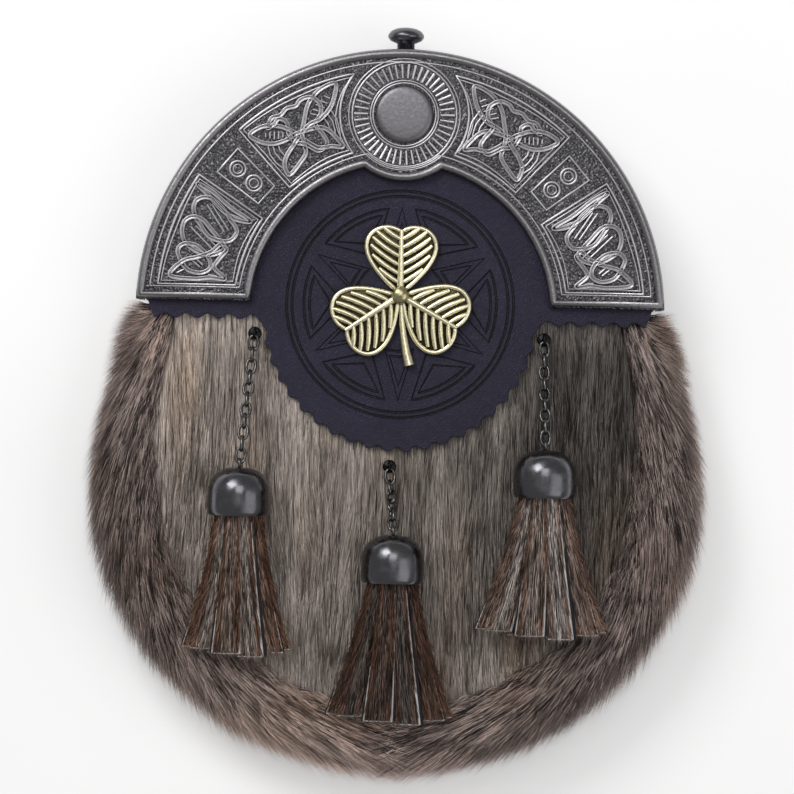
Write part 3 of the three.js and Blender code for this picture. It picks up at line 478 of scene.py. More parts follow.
# Knotwork of the left half, drawn in the cantle's plane: woven strands and plain raised ribs
upperStrands = [
    [(-50.6, 57.5), (-46.5, 60.3), (-41.5, 60.6), (-37.6, 59.4), (-35.0, 58.1), (-31.7, 55.7),
     (-27.8, 53.8), (-23.7, 54.4), (-20.0, 54.3), (-22.0, 57.0), (-24.7, 59.5), (-27.6, 60.5),
     (-30.6, 59.8), (-35.0, 58.4), (-39.0, 55.9), (-43.1, 54.7), (-47.3, 55.3)],
    [(-22.9, 75.1), (-27.1, 73.5), (-30.2, 70.6), (-32.1, 67.0), (-32.9, 62.6), (-33.5, 58.5),
     (-32.8, 55.2), (-32.1, 52.0), (-33.9, 48.7), (-37.3, 44.7), (-39.0, 48.0), (-38.2, 51.2),
     (-36.1, 54.6), (-33.2, 59.2), (-30.9, 61.5), (-27.7, 63.2), (-24.8, 66.4), (-23.2, 70.5)],
    [(-44.9, 59.9), (-43.6, 63.1), (-40.7, 64.2), (-38.8, 66.4), (-35.8, 67.3), (-34.3, 69.3),
     (-31.1, 70.3), (-28.0, 68.5), (-27.5, 65.1), (-29.1, 61.5), (-26.4, 58.0), (-25.2, 55.1),
     (-27.8, 52.8), (-30.7, 54.1), (-32.8, 54.9), (-35.8, 55.5), (-37.9, 58.4), (-38.6, 61.9),
     (-41.3, 63.0), (-42.7, 61.2)],
]
lowerStrands = [
    [(-67.5, 41.1), (-62.5, 38.5), (-56.2, 33.3), (-49.8, 29.1), (-54.7, 29.6), (-59.1, 32.6),
     (-63.4, 37.0)],
    [(-68.6, 33.4), (-67.2, 36.0), (-63.4, 36.6), (-59.5, 33.7), (-56.4, 29.6), (-54.2, 25.9),
     (-56.0, 22.8), (-59.5, 22.5), (-63.4, 23.9), (-66.1, 27.5), (-67.9, 30.4)],
    [(-71.4, 28.7), (-68.8, 30.2), (-65.6, 29.4), (-62.5, 26.0), (-59.4, 22.5), (-58.1, 20.1),
     (-60.6, 18.2), (-64.1, 17.8), (-68.3, 19.4), (-71.3, 22.2), (-72.2, 25.6)],
    [(-73.5, 19.1), (-71.3, 21.3), (-67.1, 20.6), (-63.4, 17.1), (-62.7, 13.6), (-65.7, 11.8),
     (-69.9, 12.7), (-72.3, 15.7)],
    [(-75.9, 10.9), (-71.7, 15.6), (-67.0, 17.0), (-62.4, 18.8), (-59.5, 21.2), (-57.5, 19.6),
     (-60.2, 16.0), (-61.3, 13.5), (-57.7, 10.0), (-62.8, 10.3), (-68.1, 9.8)],
]
ribs = [
    [(-24.7, 67.0), (-22.2, 63.4), (-21.2, 59.8), (-20.7, 56.2)],
    [(-25.8, 65.7), (-23.6, 62.7), (-22.7, 59.8), (-22.5, 57.6)],
    [(-27.1, 64.5), (-25.0, 61.8), (-24.3, 59.5)],
    [(-44.6, 54.2), (-43.9, 51.2), (-41.8, 48.4), (-39.2, 46.7)],
    [(-43.0, 54.2), (-42.3, 51.9), (-40.5, 49.7), (-38.8, 48.6)],
    [(-41.2, 54.5), (-40.7, 52.8), (-39.2, 51.1)], [(-45.5, 58.2), (-45.4, 56.8)],
    [(-44.1, 58.6), (-44.0, 56.5)], [(-42.6, 58.8), (-42.6, 56.2)], [(-41.2, 58.9), (-41.2, 56.4)],
    [(-39.8, 58.7), (-39.8, 56.9)], [(-31.0, 65.0), (-28.6, 64.5)], [(-30.2, 66.4), (-27.5, 65.7)],
    [(-29.2, 68.0), (-26.2, 66.9)], [(-28.0, 69.4), (-25.3, 68.4)], [(-26.6, 70.9), (-24.6, 70.1)],
    [(-64.2, 34.3), (-58.4, 25.5)], [(-62.6, 34.5), (-56.9, 25.9)], [(-69.3, 26.8), (-61.2, 18.8)],
    [(-67.7, 27.3), (-59.7, 19.6)], [(-68.5, 15.7), (-66.1, 13.8)], [(-67.3, 16.4), (-65.1, 14.4)],
    [(-73.5, 11.7), (-71.1, 13.0)], [(-63.4, 11.3), (-60.4, 10.9)], [(-61.6, 36.0), (-58.0, 32.3)],
    [(-56.2, 31.3), (-52.1, 29.6)],
]
knotwork = {"strand": 1.7, "rise": 0.8, "rib": 0.36}


def relief(bm, flip):  # one half of the cast relief
    profile = strandProfile("strand", knotwork["strand"], knotwork["rise"])
    for line, thick in panelLines():
        wire(bm, [(x * flip, y, faceZ + 0.15) for x, y in line], thick, closed=True, sides=2)
    for strands in (upperStrands, lowerStrands):
        for strand in woven([closedSpline(line, 8) for line in strands], 0.22, 0.9):
            wire(bm, [(x * flip, y, faceZ + z) for x, y, z in strand], 1, closed=True, profile=profile)
    for line in ribs:
        wire(bm, [(x * flip, y, faceZ + 0.2) for x, y in line], knotwork["rib"], sides=1)
    for radius in panelSize["studRadii"]:
        x, y = polar(radius, panelSize["studTurn"])
        for ring, thick in panelSize["studRings"]:
            wire(bm, level(arc(ring, 0, 345, 24, x * flip, y), faceZ + 0.05), thick, closed=True, sides=2)
    bpy.data.objects.remove(profile)


def paint(bm, start, index):  # one material for the faces made since the start
    bm.faces.ensure_lookup_table()
    for face in bm.faces[start:]:
        face.material_index = index
    return len(bm.faces)


def buildCantle():
    bm = bmesh.new()
    plate(bm, cantleOutline(0.0), plateBack, faceZ + 0.1, bevel=0.9)
    done = paint(bm, 0, 1)
    outer = cantleSize["outer"]
    foot = angleAt(cantleSize["foot"], outer)
    rim = arc(outer, foot, 180 - foot, 160) + arc(outer - cantleSize["rimWall"], 180 - foot, foot, 160)
    plate(bm, rim, cantleSize["rimBack"], faceZ - 0.7)
    bead = cantleSize["bead"]
    wire(bm, level(cantleOutline(bead + 0.1, 150), faceZ - 0.35), bead, closed=True, sides=3)
    done = paint(bm, done, 2)
    wire(bm, level(cantleOutline(4.3, 150), faceZ + 0.05), 0.33, closed=True, sides=2)
    done = paint(bm, done, 0)
    bossY = cantleSize["bossY"]
    turned(bm, bossSize["dome"], 64, (0, bossY, faceZ + 0.1))
    done = paint(bm, done, 3)
    for radius, thick in bossSize["rings"]:
        wire(bm, level(arc(radius, 0, 354, 60, 0, bossY), faceZ + 0.05), thick, closed=True, sides=2)
    for k in range(bossSize["bars"]):
        turn = 360 * k / bossSize["bars"]
        bar = [(*polar(r, turn, 0, bossY), faceZ + 0.05) for r in bossSize["barRadii"]]
        wire(bm, bar, bossSize["bar"], sides=1, taper=[0.75, 0.9, 1.05])
    for flip in (1, -1):
        relief(bm, flip)
    paint(bm, done, 0)
    return meshOf(bm, "cantle")


def panelLines():  # raised frames of the left half
    inner, outer, around, foot = (panelSize[key] for key in ("inner", "outer", "round", "foot"))
    bossY, lowTop, highLow = cantleSize["bossY"], panelSize["lowTop"], panelSize["highLow"]
    low = (arc(outer, lowTop, 180 - angleAt(foot, outer), 24)
           + arc(inner, 180 - angleAt(foot, inner), lowTop, 18))
    (near, far), (start, stop) = panelSize["squareRadii"], panelSize["squareTurns"]
    square = [polar(near, start), polar(far, start), polar(far, stop), polar(near, stop)]

    def reach(r):  # where a circle about the arc's centre meets the one round the boss
        return 90 + math.degrees(math.acos((r**2 + bossY**2 - around**2) / (2 * r * bossY)))

    high = arc(outer, reach(outer), highLow, 24) + arc(inner, highLow, reach(inner), 18)
    first = math.degrees(math.atan2(high[-1][1] - bossY, high[-1][0])) % 360
    last = math.degrees(math.atan2(high[0][1] - bossY, high[0][0])) % 360
    high += arc(around, first, last, 14, 0, bossY)[1:-1]
    frames = []
    for outline in (low, square, high):
        frames.append((outline, panelSize["frame"]))
        if outline is not square:
            inward = unit(np.mean(outline, axis=0) - np.array(outline)) * panelSize["inset"]
            frames.append(([tuple(p) for p in np.array(outline) + inward], panelSize["line"]))
    return frames


addPiece("cantlePlate", buildCantle(), [silver, stipple, rimSilver, bossSilver], ["cantle"])
print("cantle ready")

# Knob
knobSize = {"head": 6.0, "stem": 3.0, "stand": 3.0, "headHeight": 5.0, "ribs": 5, "collar": 4.2,
            "collarLow": -4.4, "collarHigh": -2.4}


def buildKnob():
    bm = bmesh.new()
    r, stem, stand, tall = (knobSize[key] for key in ("head", "stem", "stand", "headHeight"))
    collar, low, high = (knobSize[key] for key in ("collar", "collarLow", "collarHigh"))
    profile = [(0, low), (collar - 0.1, low), (collar, low + 0.2), (collar, high - 0.2), (collar - 0.1, high),
               (stem, high), (stem, 0.2)]
    pitch = (stand - 0.4) / knobSize["ribs"]
    for k in range(knobSize["ribs"]):
        profile += [(stem - 0.22, 0.3 + pitch * (k + 0.15)), (stem + 0.05, 0.3 + pitch * (k + 0.6))]
    profile += [(r * 0.62, stand), (r * 0.86, stand + tall * 0.12), (r * 0.985, stand + tall * 0.3),
                (r, stand + tall * 0.42), (r * 0.97, stand + tall * 0.56), (r * 0.84, stand + tall * 0.76),
                (r * 0.6, stand + tall * 0.91), (r * 0.3, stand + tall * 0.985), (0, stand + tall)]
    centreZ = (knobLow.z + knobHigh.z) / 2 / mm
    turned(bm, profile, 40, (0, cantleSize["outer"], centreZ), (0, 1, 0))
    return finishMesh(bm, "knob", 50)


addPiece("knobTurned", buildKnob(), [darkMetal], ["knob"], body="catch")

# Apron
apronSize = {"radius": 45.6, "yoke": 81.0, "drop": 3.0, "top": 83.3, "foot": 3, "pitch": 6.5, "depth": 1.6,
             "groove": 0.5}
embossSize = {"rings": (37.4, 35.6), "outer": 31.7, "tip": 18.2, "low": 15.4, "inset": 1.9, "up": 3.0}


def pinkedRun(length, place):
    count = round(length / apronSize["pitch"])
    wave = [0.0, 0.12, 0.5, 0.9, 1.0, 0.88, 0.5, 0.12]
    return [place((k + q / 8) / count, depth * apronSize["depth"])
            for k in range(count) for q, depth in enumerate(wave)]


def apronOutline():
    foot = angleAt(apronSize["foot"], apronSize["top"])
    meetY = -apronSize["drop"] - 1.5
    meetX = math.sqrt(apronSize["radius"]**2 - meetY**2)
    meet = math.degrees(math.atan2(-meetY, meetX))
    yoke = apronSize["yoke"]
    left = pinkedRun(yoke - meetX, lambda t, d: (-yoke + (yoke - meetX) * t, -apronSize["drop"] + d))
    rounded = pinkedRun(math.radians(180 - 2 * meet) * apronSize["radius"],
                        lambda t, d: polar(apronSize["radius"] - d, 180 + meet + (180 - 2 * meet) * t))
    return arc(apronSize["top"], foot, 180 - foot, 60) + left + rounded + [(-x, y) for x, y in reversed(left)]


def embossedLines():  # closed lines pressed into the leather, about the pattern's centre
    lines = [arc(radius, 0, 356, 90) for radius in embossSize["rings"]]
    for turn in range(0, 360, 60):
        for inset in (0.0, embossSize["inset"]):
            outer = embossSize["outer"] - inset
            spread = 22 - math.degrees(inset * 1.3 / outer)
            tip = polar(embossSize["tip"] + inset * 2.4, turn)
            lines.append([tip] + arc(outer, turn - spread, turn + spread, 14))
            point = polar(embossSize["outer"] - inset * 2.6, turn + 30)
            low = embossSize["low"] + inset
            fan = 18 - math.degrees(inset * 1.2 / low)
            lines.append([point] + arc(low, turn + 30 + fan, turn + 30 - fan, 8))
    return [[(x, y + embossSize["up"]) for x, y in line] for line in lines]


def buildApron():
    bm = bmesh.new()
    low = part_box("apron")[0].z / mm
    plate(bm, apronOutline(), low, apronTop, bevel=0.35, segments=2)
    slab = addObject("slab", finishMesh(bm, "apron"))
    cutter = bmesh.new()
    for line in embossedLines():
        wire(cutter, level(line, apronTop + 0.05), apronSize["groove"], closed=True, sides=1)
    paint(cutter, 0, 1)
    tool = addObject("tool", finishMesh(cutter, "grooves"))
    cut = slab.modifiers.new("grooves", "BOOLEAN")
    cut.object = tool
    cut.operation = "DIFFERENCE"
    cut.solver = "EXACT"
    cut.material_mode = "INDEX"
    for holder in (slab, tool):
        for material in (navyLeather, pressedLeather, cutEdge):
            holder.data.materials.append(material)
    mesh = evaluated(slab)
    bpy.data.objects.remove(slab)
    bpy.data.objects.remove(tool)
    for face in mesh.polygons:
        if face.material_index == 0 and abs(face.normal.z) < 0.9:
            face.material_index = 2
    return mesh


addPiece("apronLeather", buildApron(), (), ["apron"], smooth=False)
print("knob and apron ready")

# Shamrock badge
badgeSize = {"y": 6.0, "length": 24.8, "half": 13.9, "notch": 3.2, "rim": 0.85, "veins": 6, "vein": 0.92,
             "spine": 1.05, "clear": 2.2, "tipClear": 2.4, "turns": (90, 214, 331), "thick": 1.3}


def leafEdge(t):  # half breadth, at a turn from 0 at the root to pi at the tip
    return badgeSize["half"] * 1.12 * math.sin(t) * math.sin(t / 2) ** 0.9


def leafHalf(x):
    return leafEdge(math.acos(max(-1.0, 1 - 2 * x / badgeSize["length"])))


def heart(inset, count=64):
    points = []
    for k in range(count):
        t = 2 * math.pi * k / count
        x = badgeSize["length"] * (0.5 - 0.5 * math.cos(t))
        x -= badgeSize["notch"] * math.exp(-abs(t - math.pi) / 0.3)
        points.append(Vector((x, -leafEdge(t))))
    centre = Vector((badgeSize["length"] * 0.56, 0))
    return [tuple(p + (centre - p).normalized() * inset) for p in points]


def veinReach(root):  # as far as the leaf's rim
    reach = 1.5
    end = root + reach * 0.75
    while (reach * 1.12 < leafHalf(end) - badgeSize["clear"]
           and end < badgeSize["length"] - badgeSize["tipClear"]):
        reach += 0.1
        end = root + reach * 0.75
    return reach


def buildBadge():
    bm = bmesh.new()
    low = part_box("badge")[0].z / mm
    top = low + badgeSize["thick"]
    for turn in badgeSize["turns"]:
        part = bmesh.new()
        plate(part, heart(0.0)[::-1], low, top, bevel=0.3, segments=2)
        ground = paint(part, 0, 1)
        rim = badgeSize["rim"]
        wire(part, level(heart(rim * 0.95), top - 0.1), rim, closed=True, sides=3)
        spine = [(x, 0, top + 0.15 + 0.25 * math.sin(x / 7))
                 for x in np.linspace(2, badgeSize["length"] - 3.4, 14)]
        wire(part, spine, badgeSize["spine"], sides=3, taper=list(np.linspace(1.25, 0.8, 14)))
        for k in range(badgeSize["veins"]):
            root = badgeSize["length"] * (0.16 + 0.116 * k)
            reach = veinReach(root)
            for way in (1, -1):
                vein = [(root + s * reach * 0.5 + s * s * reach * 0.25, way * s * reach * 1.12,
                         top + 0.45 - 0.35 * s) for s in np.linspace(0.05, 1, 6)]
                wire(part, vein, badgeSize["vein"], sides=2, taper=[0.75, 0.85, 0.95, 1.0, 0.95, 0.7])
        paint(part, ground, 0)
        spun = Matrix.Rotation(math.radians(turn), 3, "Z")
        bmesh.ops.rotate(part, cent=(0, 0, 0), matrix=spun, verts=part.verts)
        join(bm, part)
    stem = [(0.2, -1.5), (0.6, -7), (1.3, -13), (2.4, -19), (3.5, -23)]
    done = len(bm.faces)
    stemLine = [(x, y, low + 0.95) for x, y in stem]
    wire(bm, stemLine, badgeSize["spine"], sides=3, taper=[0.9, 1.0, 1.15, 1.45, 1.75])
    done = paint(bm, done, 0)
    ball = [(0, 2.75), (1.0, 2.65), (1.95, 2.35), (2.65, 1.8), (3.0, 1.0), (3.0, 0.2), (2.8, -1.2),
            (0, -1.2)]
    turned(bm, ball, 32, (0, 0, top + 0.3))
    paint(bm, done, 2)
    bmesh.ops.translate(bm, verts=bm.verts, vec=(0, badgeSize["y"], 0))
    return meshOf(bm, "badge")


addPiece("shamrockBadge", buildBadge(), [brass, brassGround, ballBrass], ["badge"])
print("badge ready")


# Chains and their eyes: finer copies of the frame's own links
def softened(name, nodeNames, material, swell):
    bm = bmesh.new()
    for nodeName in nodeNames:
        bm.from_mesh(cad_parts[nodeName].data)
    bmesh.ops.remove_doubles(bm, verts=bm.verts, dist=1e-6)
    bm.normal_update()
    for v in bm.verts:
        v.co += v.normal * swell * mm
    piece = addPiece(name, meshOf(bm, name), [material], nodeNames, drawn=False)
    soft = piece.modifiers.new("soft", "SUBSURF")
    soft.levels = soft.render_levels = 1


sides = ("left", "middle", "right")
for side in sides:
    links = sorted(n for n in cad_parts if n.startswith(f"link_{side}_"))
    softened(f"chain_{side}", links, chainSteel, 0.34)
    softened(f"eye_{side}", [f"anchor_{side}"], blackWire, 0.1)

# Bells
bellSize = {"radius": 10.2, "height": 15.5, "wall": 0.9, "eye": 1.5, "eyeWire": 0.5}
bellSpots = {}
for side in sides:
    low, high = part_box(f"bell_{side}")
    x = ((low.x + high.x) / 2 - arcX) / mm
    z = (high.z + low.z) / 2 / mm
    bellSpots[side] = (x, (low.y - arcY) / mm + bellSize["height"], z)


def buildBell(spot):
    bm = bmesh.new()
    r, tall, wall = bellSize["radius"], bellSize["height"], bellSize["wall"]
    outer = [(0, 0)]
    for a in np.linspace(78, 0, 12):
        outer.append((r * math.cos(math.radians(a)) ** 0.72, -0.55 * tall * (1 - math.sin(math.radians(a)))))
    outer += [(r + 0.1, -tall * 0.72), (r + 0.12, -tall * 0.84), (r, -tall * 0.93), (r - 0.3, -tall * 0.98),
              (r - 0.5, -tall), (r - wall, -tall)]
    inner = [(max(0.0, px - wall), py - wall) for px, py in outer[1:13]][::-1]
    profile = outer + inner + [(0, -wall)]
    turned(bm, profile, 56, spot, (0, 1, 0))
    ring = arc(bellSize["eye"], 0, 345, 24)
    eye = [(spot[0], spot[1] + 1.2 + u, spot[2] + v) for u, v in ring]
    wire(bm, eye, bellSize["eyeWire"], closed=True, sides=2)
    return finishMesh(bm, "bell", 50)


for side in sides:
    addPiece(f"bellCup_{side}", buildBell(bellSpots[side]), [darkMetal], [f"bell_{side}"])
print("chains and bells ready")

# Fur hides. Shapes in drawing millimetres, as numpy arrays.
bodyY = -56.0  # the middle of the pouch's round part
hide = {"half": 92.8, "drop": 87.0, "shoulder": 80.0, "seamHalf": 80.5, "seamDrop": 73.0,
        "seamShoulder": 71.5, "belly": 3.5, "bellyFrom": 45.6, "bellyRun": 50.0, "roll": 7.0,
        "top": 76.0, "topRadius": 82.9, "rollFrom": 162, "rollTurn": 242}
footY = 3.0


def halfWidth(y, half, drop, shoulder):
    below = np.clip((bodyY - y) / drop, 0, 1)
    share = np.clip((y - bodyY) / (footY - bodyY), 0, 1)
    return np.where(y <= bodyY, half * np.sqrt(1 - below**2), half + (shoulder - half) * share**2)


def seamHalf(y):
    return halfWidth(y, hide["seamHalf"], hide["seamDrop"], hide["seamShoulder"])


def frontZ(x, y):
    t = np.clip((-y - hide["bellyFrom"]) / hide["bellyRun"], 0, 1)
    down = t * t * (3 - 2 * t)
    return hideTop + hide["belly"] * down * np.maximum(0, 1 - (x / hide["seamHalf"]) ** 2)


def bandPoint(theta, share):  # theta goes round the roll, share along it from the left shoulder
    out = 0.5 + 0.56 * np.cos(theta)
    up = 0.5 + 0.5 * np.sin(theta)
    top = footY - 0.4
    side = top - bodyY
    rounded = math.pi * (hide["half"] + hide["drop"]) / 2
    total = 2 * side + rounded
    s = share * total
    turn = math.pi * (1 + np.clip((s - side) / rounded, 0, 1))
    y = np.where(s < side, top - s, top - (total - s))
    seamX = (hide["seamHalf"] + 0.3) * np.cos(turn)
    seamY = bodyY + (hide["seamDrop"] + 0.3) * np.sin(turn)
    edgeX, edgeY = hide["half"] * np.cos(turn), bodyY + hide["drop"] * np.sin(turn)
    onRound = (s >= side) & (s <= side + rounded)
    seamSide = seamHalf(y) + 0.3
    edgeSide = halfWidth(y, hide["half"], hide["drop"], hide["shoulder"])
    sign = np.where(s < side, -1, 1)
    x = np.where(onRound, seamX + (edgeX - seamX) * out, sign * (seamSide + (edgeSide - seamSide) * out))
    yy = np.where(onRound, seamY + (edgeY - seamY) * out, y)
    yoke = 7.0 / total
    shoulder = np.clip(6 * (np.minimum(share, 1 - share) - yoke), 0, 1)
    floorZ = backTop + 0.3
    z = floorZ + (hideTop + hide["roll"] * shoulder - floorZ) * up
    return np.stack([x, yy, z + 0 * x], -1)


def gridPiece(name, columns, rows, surface, thickness, material, nodes):  # surface(u, v)
    bm = bmesh.new()
    bmesh.ops.create_grid(bm, x_segments=columns, y_segments=rows, size=1)
    uv = np.array([v.co[:] for v in bm.verts])
    spots = surface((uv[:, 0] + 1) / 2, (uv[:, 1] + 1) / 2)
    for v, spot in zip(bm.verts, spots):
        v.co = spot
    bm.normal_update()
    bmesh.ops.solidify(bm, geom=bm.faces[:], thickness=thickness)
    outwards(bm)
    addPiece(name, meshOf(bm, name), [material], nodes)


def frontSurface(u, v):
    low = bodyY - hide["seamDrop"] + 0.8
    y = low + (hide["top"] - low) * v
    arched = np.sqrt(np.maximum(0, hide["topRadius"]**2 - y**2))
    half = np.where(y > footY, arched, seamHalf(np.minimum(y, footY)) - 0.6)
    x = (2 * u - 1) * half
    return np.stack([x, y, frontZ(x, y)], -1)


def bandSurface(u, v):
    return bandPoint(np.radians(hide["rollFrom"] - hide["rollTurn"] * u), 1 - v)


gridPiece("frontHide", 48, 64, frontSurface, 2.0, paleHide, ["front_panel"])
gridPiece("bandHide", 20, 150, bandSurface, -2.0, darkHide, ["gusset_band"])
print("hides ready")

# Fur: each hair is a closed sliver, pointed at both ends and bent at its three-sided middle
hairBury = 0.5
sliver = np.array([0, 2, 1, 0, 3, 2, 0, 1, 3, 1, 2, 4, 2, 3, 4, 3, 1, 4])


def growHair(name, shades, root, middle, tip, normal, width, tint):  # shades: root, middle and tip
    n = len(root)
    side = unit(np.cross(normal, tip - root))
    width = width[:, None]
    corners = np.stack([-side * width, side * width, normal * width * 0.8], 1)
    base = root - normal * hairBury
    points = np.concatenate([base[:, None], middle[:, None] + corners, tip[:, None]], 1)
    corner = (sliver[None] + 5 * np.arange(n)[:, None]).reshape(-1)
    mesh = bpy.data.meshes.new(name)
    mesh.vertices.add(n * 5)
    mesh.vertices.foreach_set("co", points.reshape(-1).astype(np.float32))
    mesh.loops.add(len(corner))
    mesh.loops.foreach_set("vertex_index", corner.astype(np.int32))
    mesh.polygons.add(n * 6)
    mesh.polygons.foreach_set("loop_start", np.arange(0, n * 18, 3, dtype=np.int32))
    mesh.update(calc_edges=True)
    colour = mesh.attributes.new("tint", "FLOAT_COLOR", "POINT")
    rgba = np.ones((n, 5, 4))
    rgba[:, :, :3] = tint[:, None, :] * np.repeat(shades, (1, 3, 1))[None, :, None]
    colour.data.foreach_set("color", rgba.reshape(-1).astype(np.float32))
    addPiece(name, mesh, [furHair])


def ripple(x, y, wave, seed, count=6):  # smooth noise, about -1 to 1
    local = np.random.default_rng(seed)
    total = 0
    for _ in range(count):
        a = local.uniform(0, 2 * math.pi)
        f = 2 * math.pi / (wave * local.uniform(0.6, 1.8))
        total += np.sin(f * (math.cos(a) * x + math.sin(a) * y) + local.uniform(0, 6.28))
    return total / count * 1.7


def clump(x, y, pitch, run, seed):  # how far each hair is from the middle of its lock
    band = y / run + 0.5 * ripple(x, y, 4 * pitch, seed)
    shift = np.random.default_rng(seed).uniform(0, 1, 997)[np.floor(band).astype(int) % 997]
    cell = x / pitch + shift
    return (np.floor(cell) + 0.5 - cell) * pitch


def linear(colour):  # sRGB 0-255 to linear
    c = np.array(colour) / 255.0
    return np.where(c <= 0.04045, c / 12.92, ((c + 0.055) / 1.055) ** 2.4)


def mixTint(share, dark, pale):
    share = np.clip(share, 0, 1)[:, None]
    return linear(dark) * (1 - share) + linear(pale) * share


furSize = {"front": 27000, "frontLength": 25.0, "frontWidth": 0.078, "frontTop": 13.0, "underApron": 35,
           "band": 22000, "bandLength": 18.5, "bandWidth": 0.098, "bandRun": 400, "crowded": 0.12}
bandEnds = (0.003, 0.335, 0.665, 0.997)  # shares of the band at which its three coats end
plainUp = (0.0, 0.0, 1.0)
frontLook = {"dark": (70, 62, 57), "pale": (184, 174, 166), "warm": (0.13, 0.0, -0.15), "gain": 2.28}
bandLook = {"dark": (30, 24, 23), "pale": (176, 158, 151), "tan": (164, 146, 135), "warm": (0.1, 0.0, -0.1),
            "share": (0, 0.06, 0.12, 0.2, 0.3, 0.38, 0.5, 0.58, 0.66, 0.8, 0.9, 1),
            "gain": (2.2, 2.1, 1.55, 1.4, 1.8, 2.7, 3.3, 2.3, 1.5, 1.75, 1.8, 1.8)}


def growFront(name, low, high):
    n = furSize["front"] * 3  # roots that the apron hides are dropped again
    y = rng.uniform(bodyY - hide["seamDrop"] + 1, furSize["frontTop"], n)
    x = rng.uniform(low, high, n) * (seamHalf(np.minimum(y, 0)) + 1.0)
    away = np.hypot(x, y)
    keep = (away > furSize["underApron"]) & ((away < 82) | (y < -20))
    x, y, away = (a[keep][:furSize["front"]] for a in (x, y, away))
    n = len(x)
    near = np.clip(np.minimum((away - 44) / 14, (-y + 1) / 14), 0.1, 1)  # pressed flat beside the apron
    length = furSize["frontLength"] * rng.uniform(0.6, 1.15, n)
    floorY = bodyY - hide["seamDrop"] * np.sqrt(np.maximum(0, 1 - (x / 81) ** 2))
    length *= np.clip((y - floorY) / 16, 0.4, 1)
    gather = clump(x, y, 2.3, 10, 3) * 0.6
    drift = length * (0.06 * ripple(x, y * 0.3, 34, 4) + 0.08 * ripple(x, y * 0.2, 9, 9))
    drift = drift + rng.normal(0, 0.6, n)
    lift = (1.1 + 0.7 * ripple(x, y * 0.4, 9, 7) + rng.uniform(0, 1.0, n)).clip(0.3, 5) * near
    midY, tipY = y - length * 0.5, y - length
    root = np.stack([x, y, frontZ(x, y)], -1)
    middle = np.stack([x + 0.45 * (gather + drift * 0.6), midY, frontZ(x, midY) + lift], -1)
    tip = np.stack([x + gather + drift, tipY, frontZ(x, tipY) + lift * 0.75], -1)
    under = near < 0.3
    middle[under, 2] = np.minimum(middle[under, 2], hideTop + 0.4)
    streak = 0.45 + 0.13 * ripple(x, y * 0.08, 12, 5) + 0.15 * ripple(x, y * 0.15, 3.4, 6)
    streak += 0.17 * ripple(x, y * 0.2, 1.3, 16) + rng.normal(0, 0.14, n)
    toRight = np.clip((x + 22) / 70, 0, 1) * np.clip(1.3 + y / 110, 0.25, 1)
    streak = 0.45 + (streak - 0.45) * (1 + 0.8 * toRight)
    side = 1 - 0.7 * toRight + 0.2 * np.clip((-x - 30) / 30, 0, 1)
    tint = mixTint(streak, frontLook["dark"], frontLook["pale"]) * side[:, None] * frontLook["gain"]
    warm = np.clip(0.6 * ripple(x, y * 0.35, 26, 8), 0, 1)[:, None]
    tint = tint * (1 + warm * np.array(frontLook["warm"]))
    width = furSize["frontWidth"] * rng.uniform(0.7, 1.25, n)
    growHair(name, (0.6, 0.95, 1.15), root, middle, tip, np.tile(plainUp, (n, 1)), width, tint)


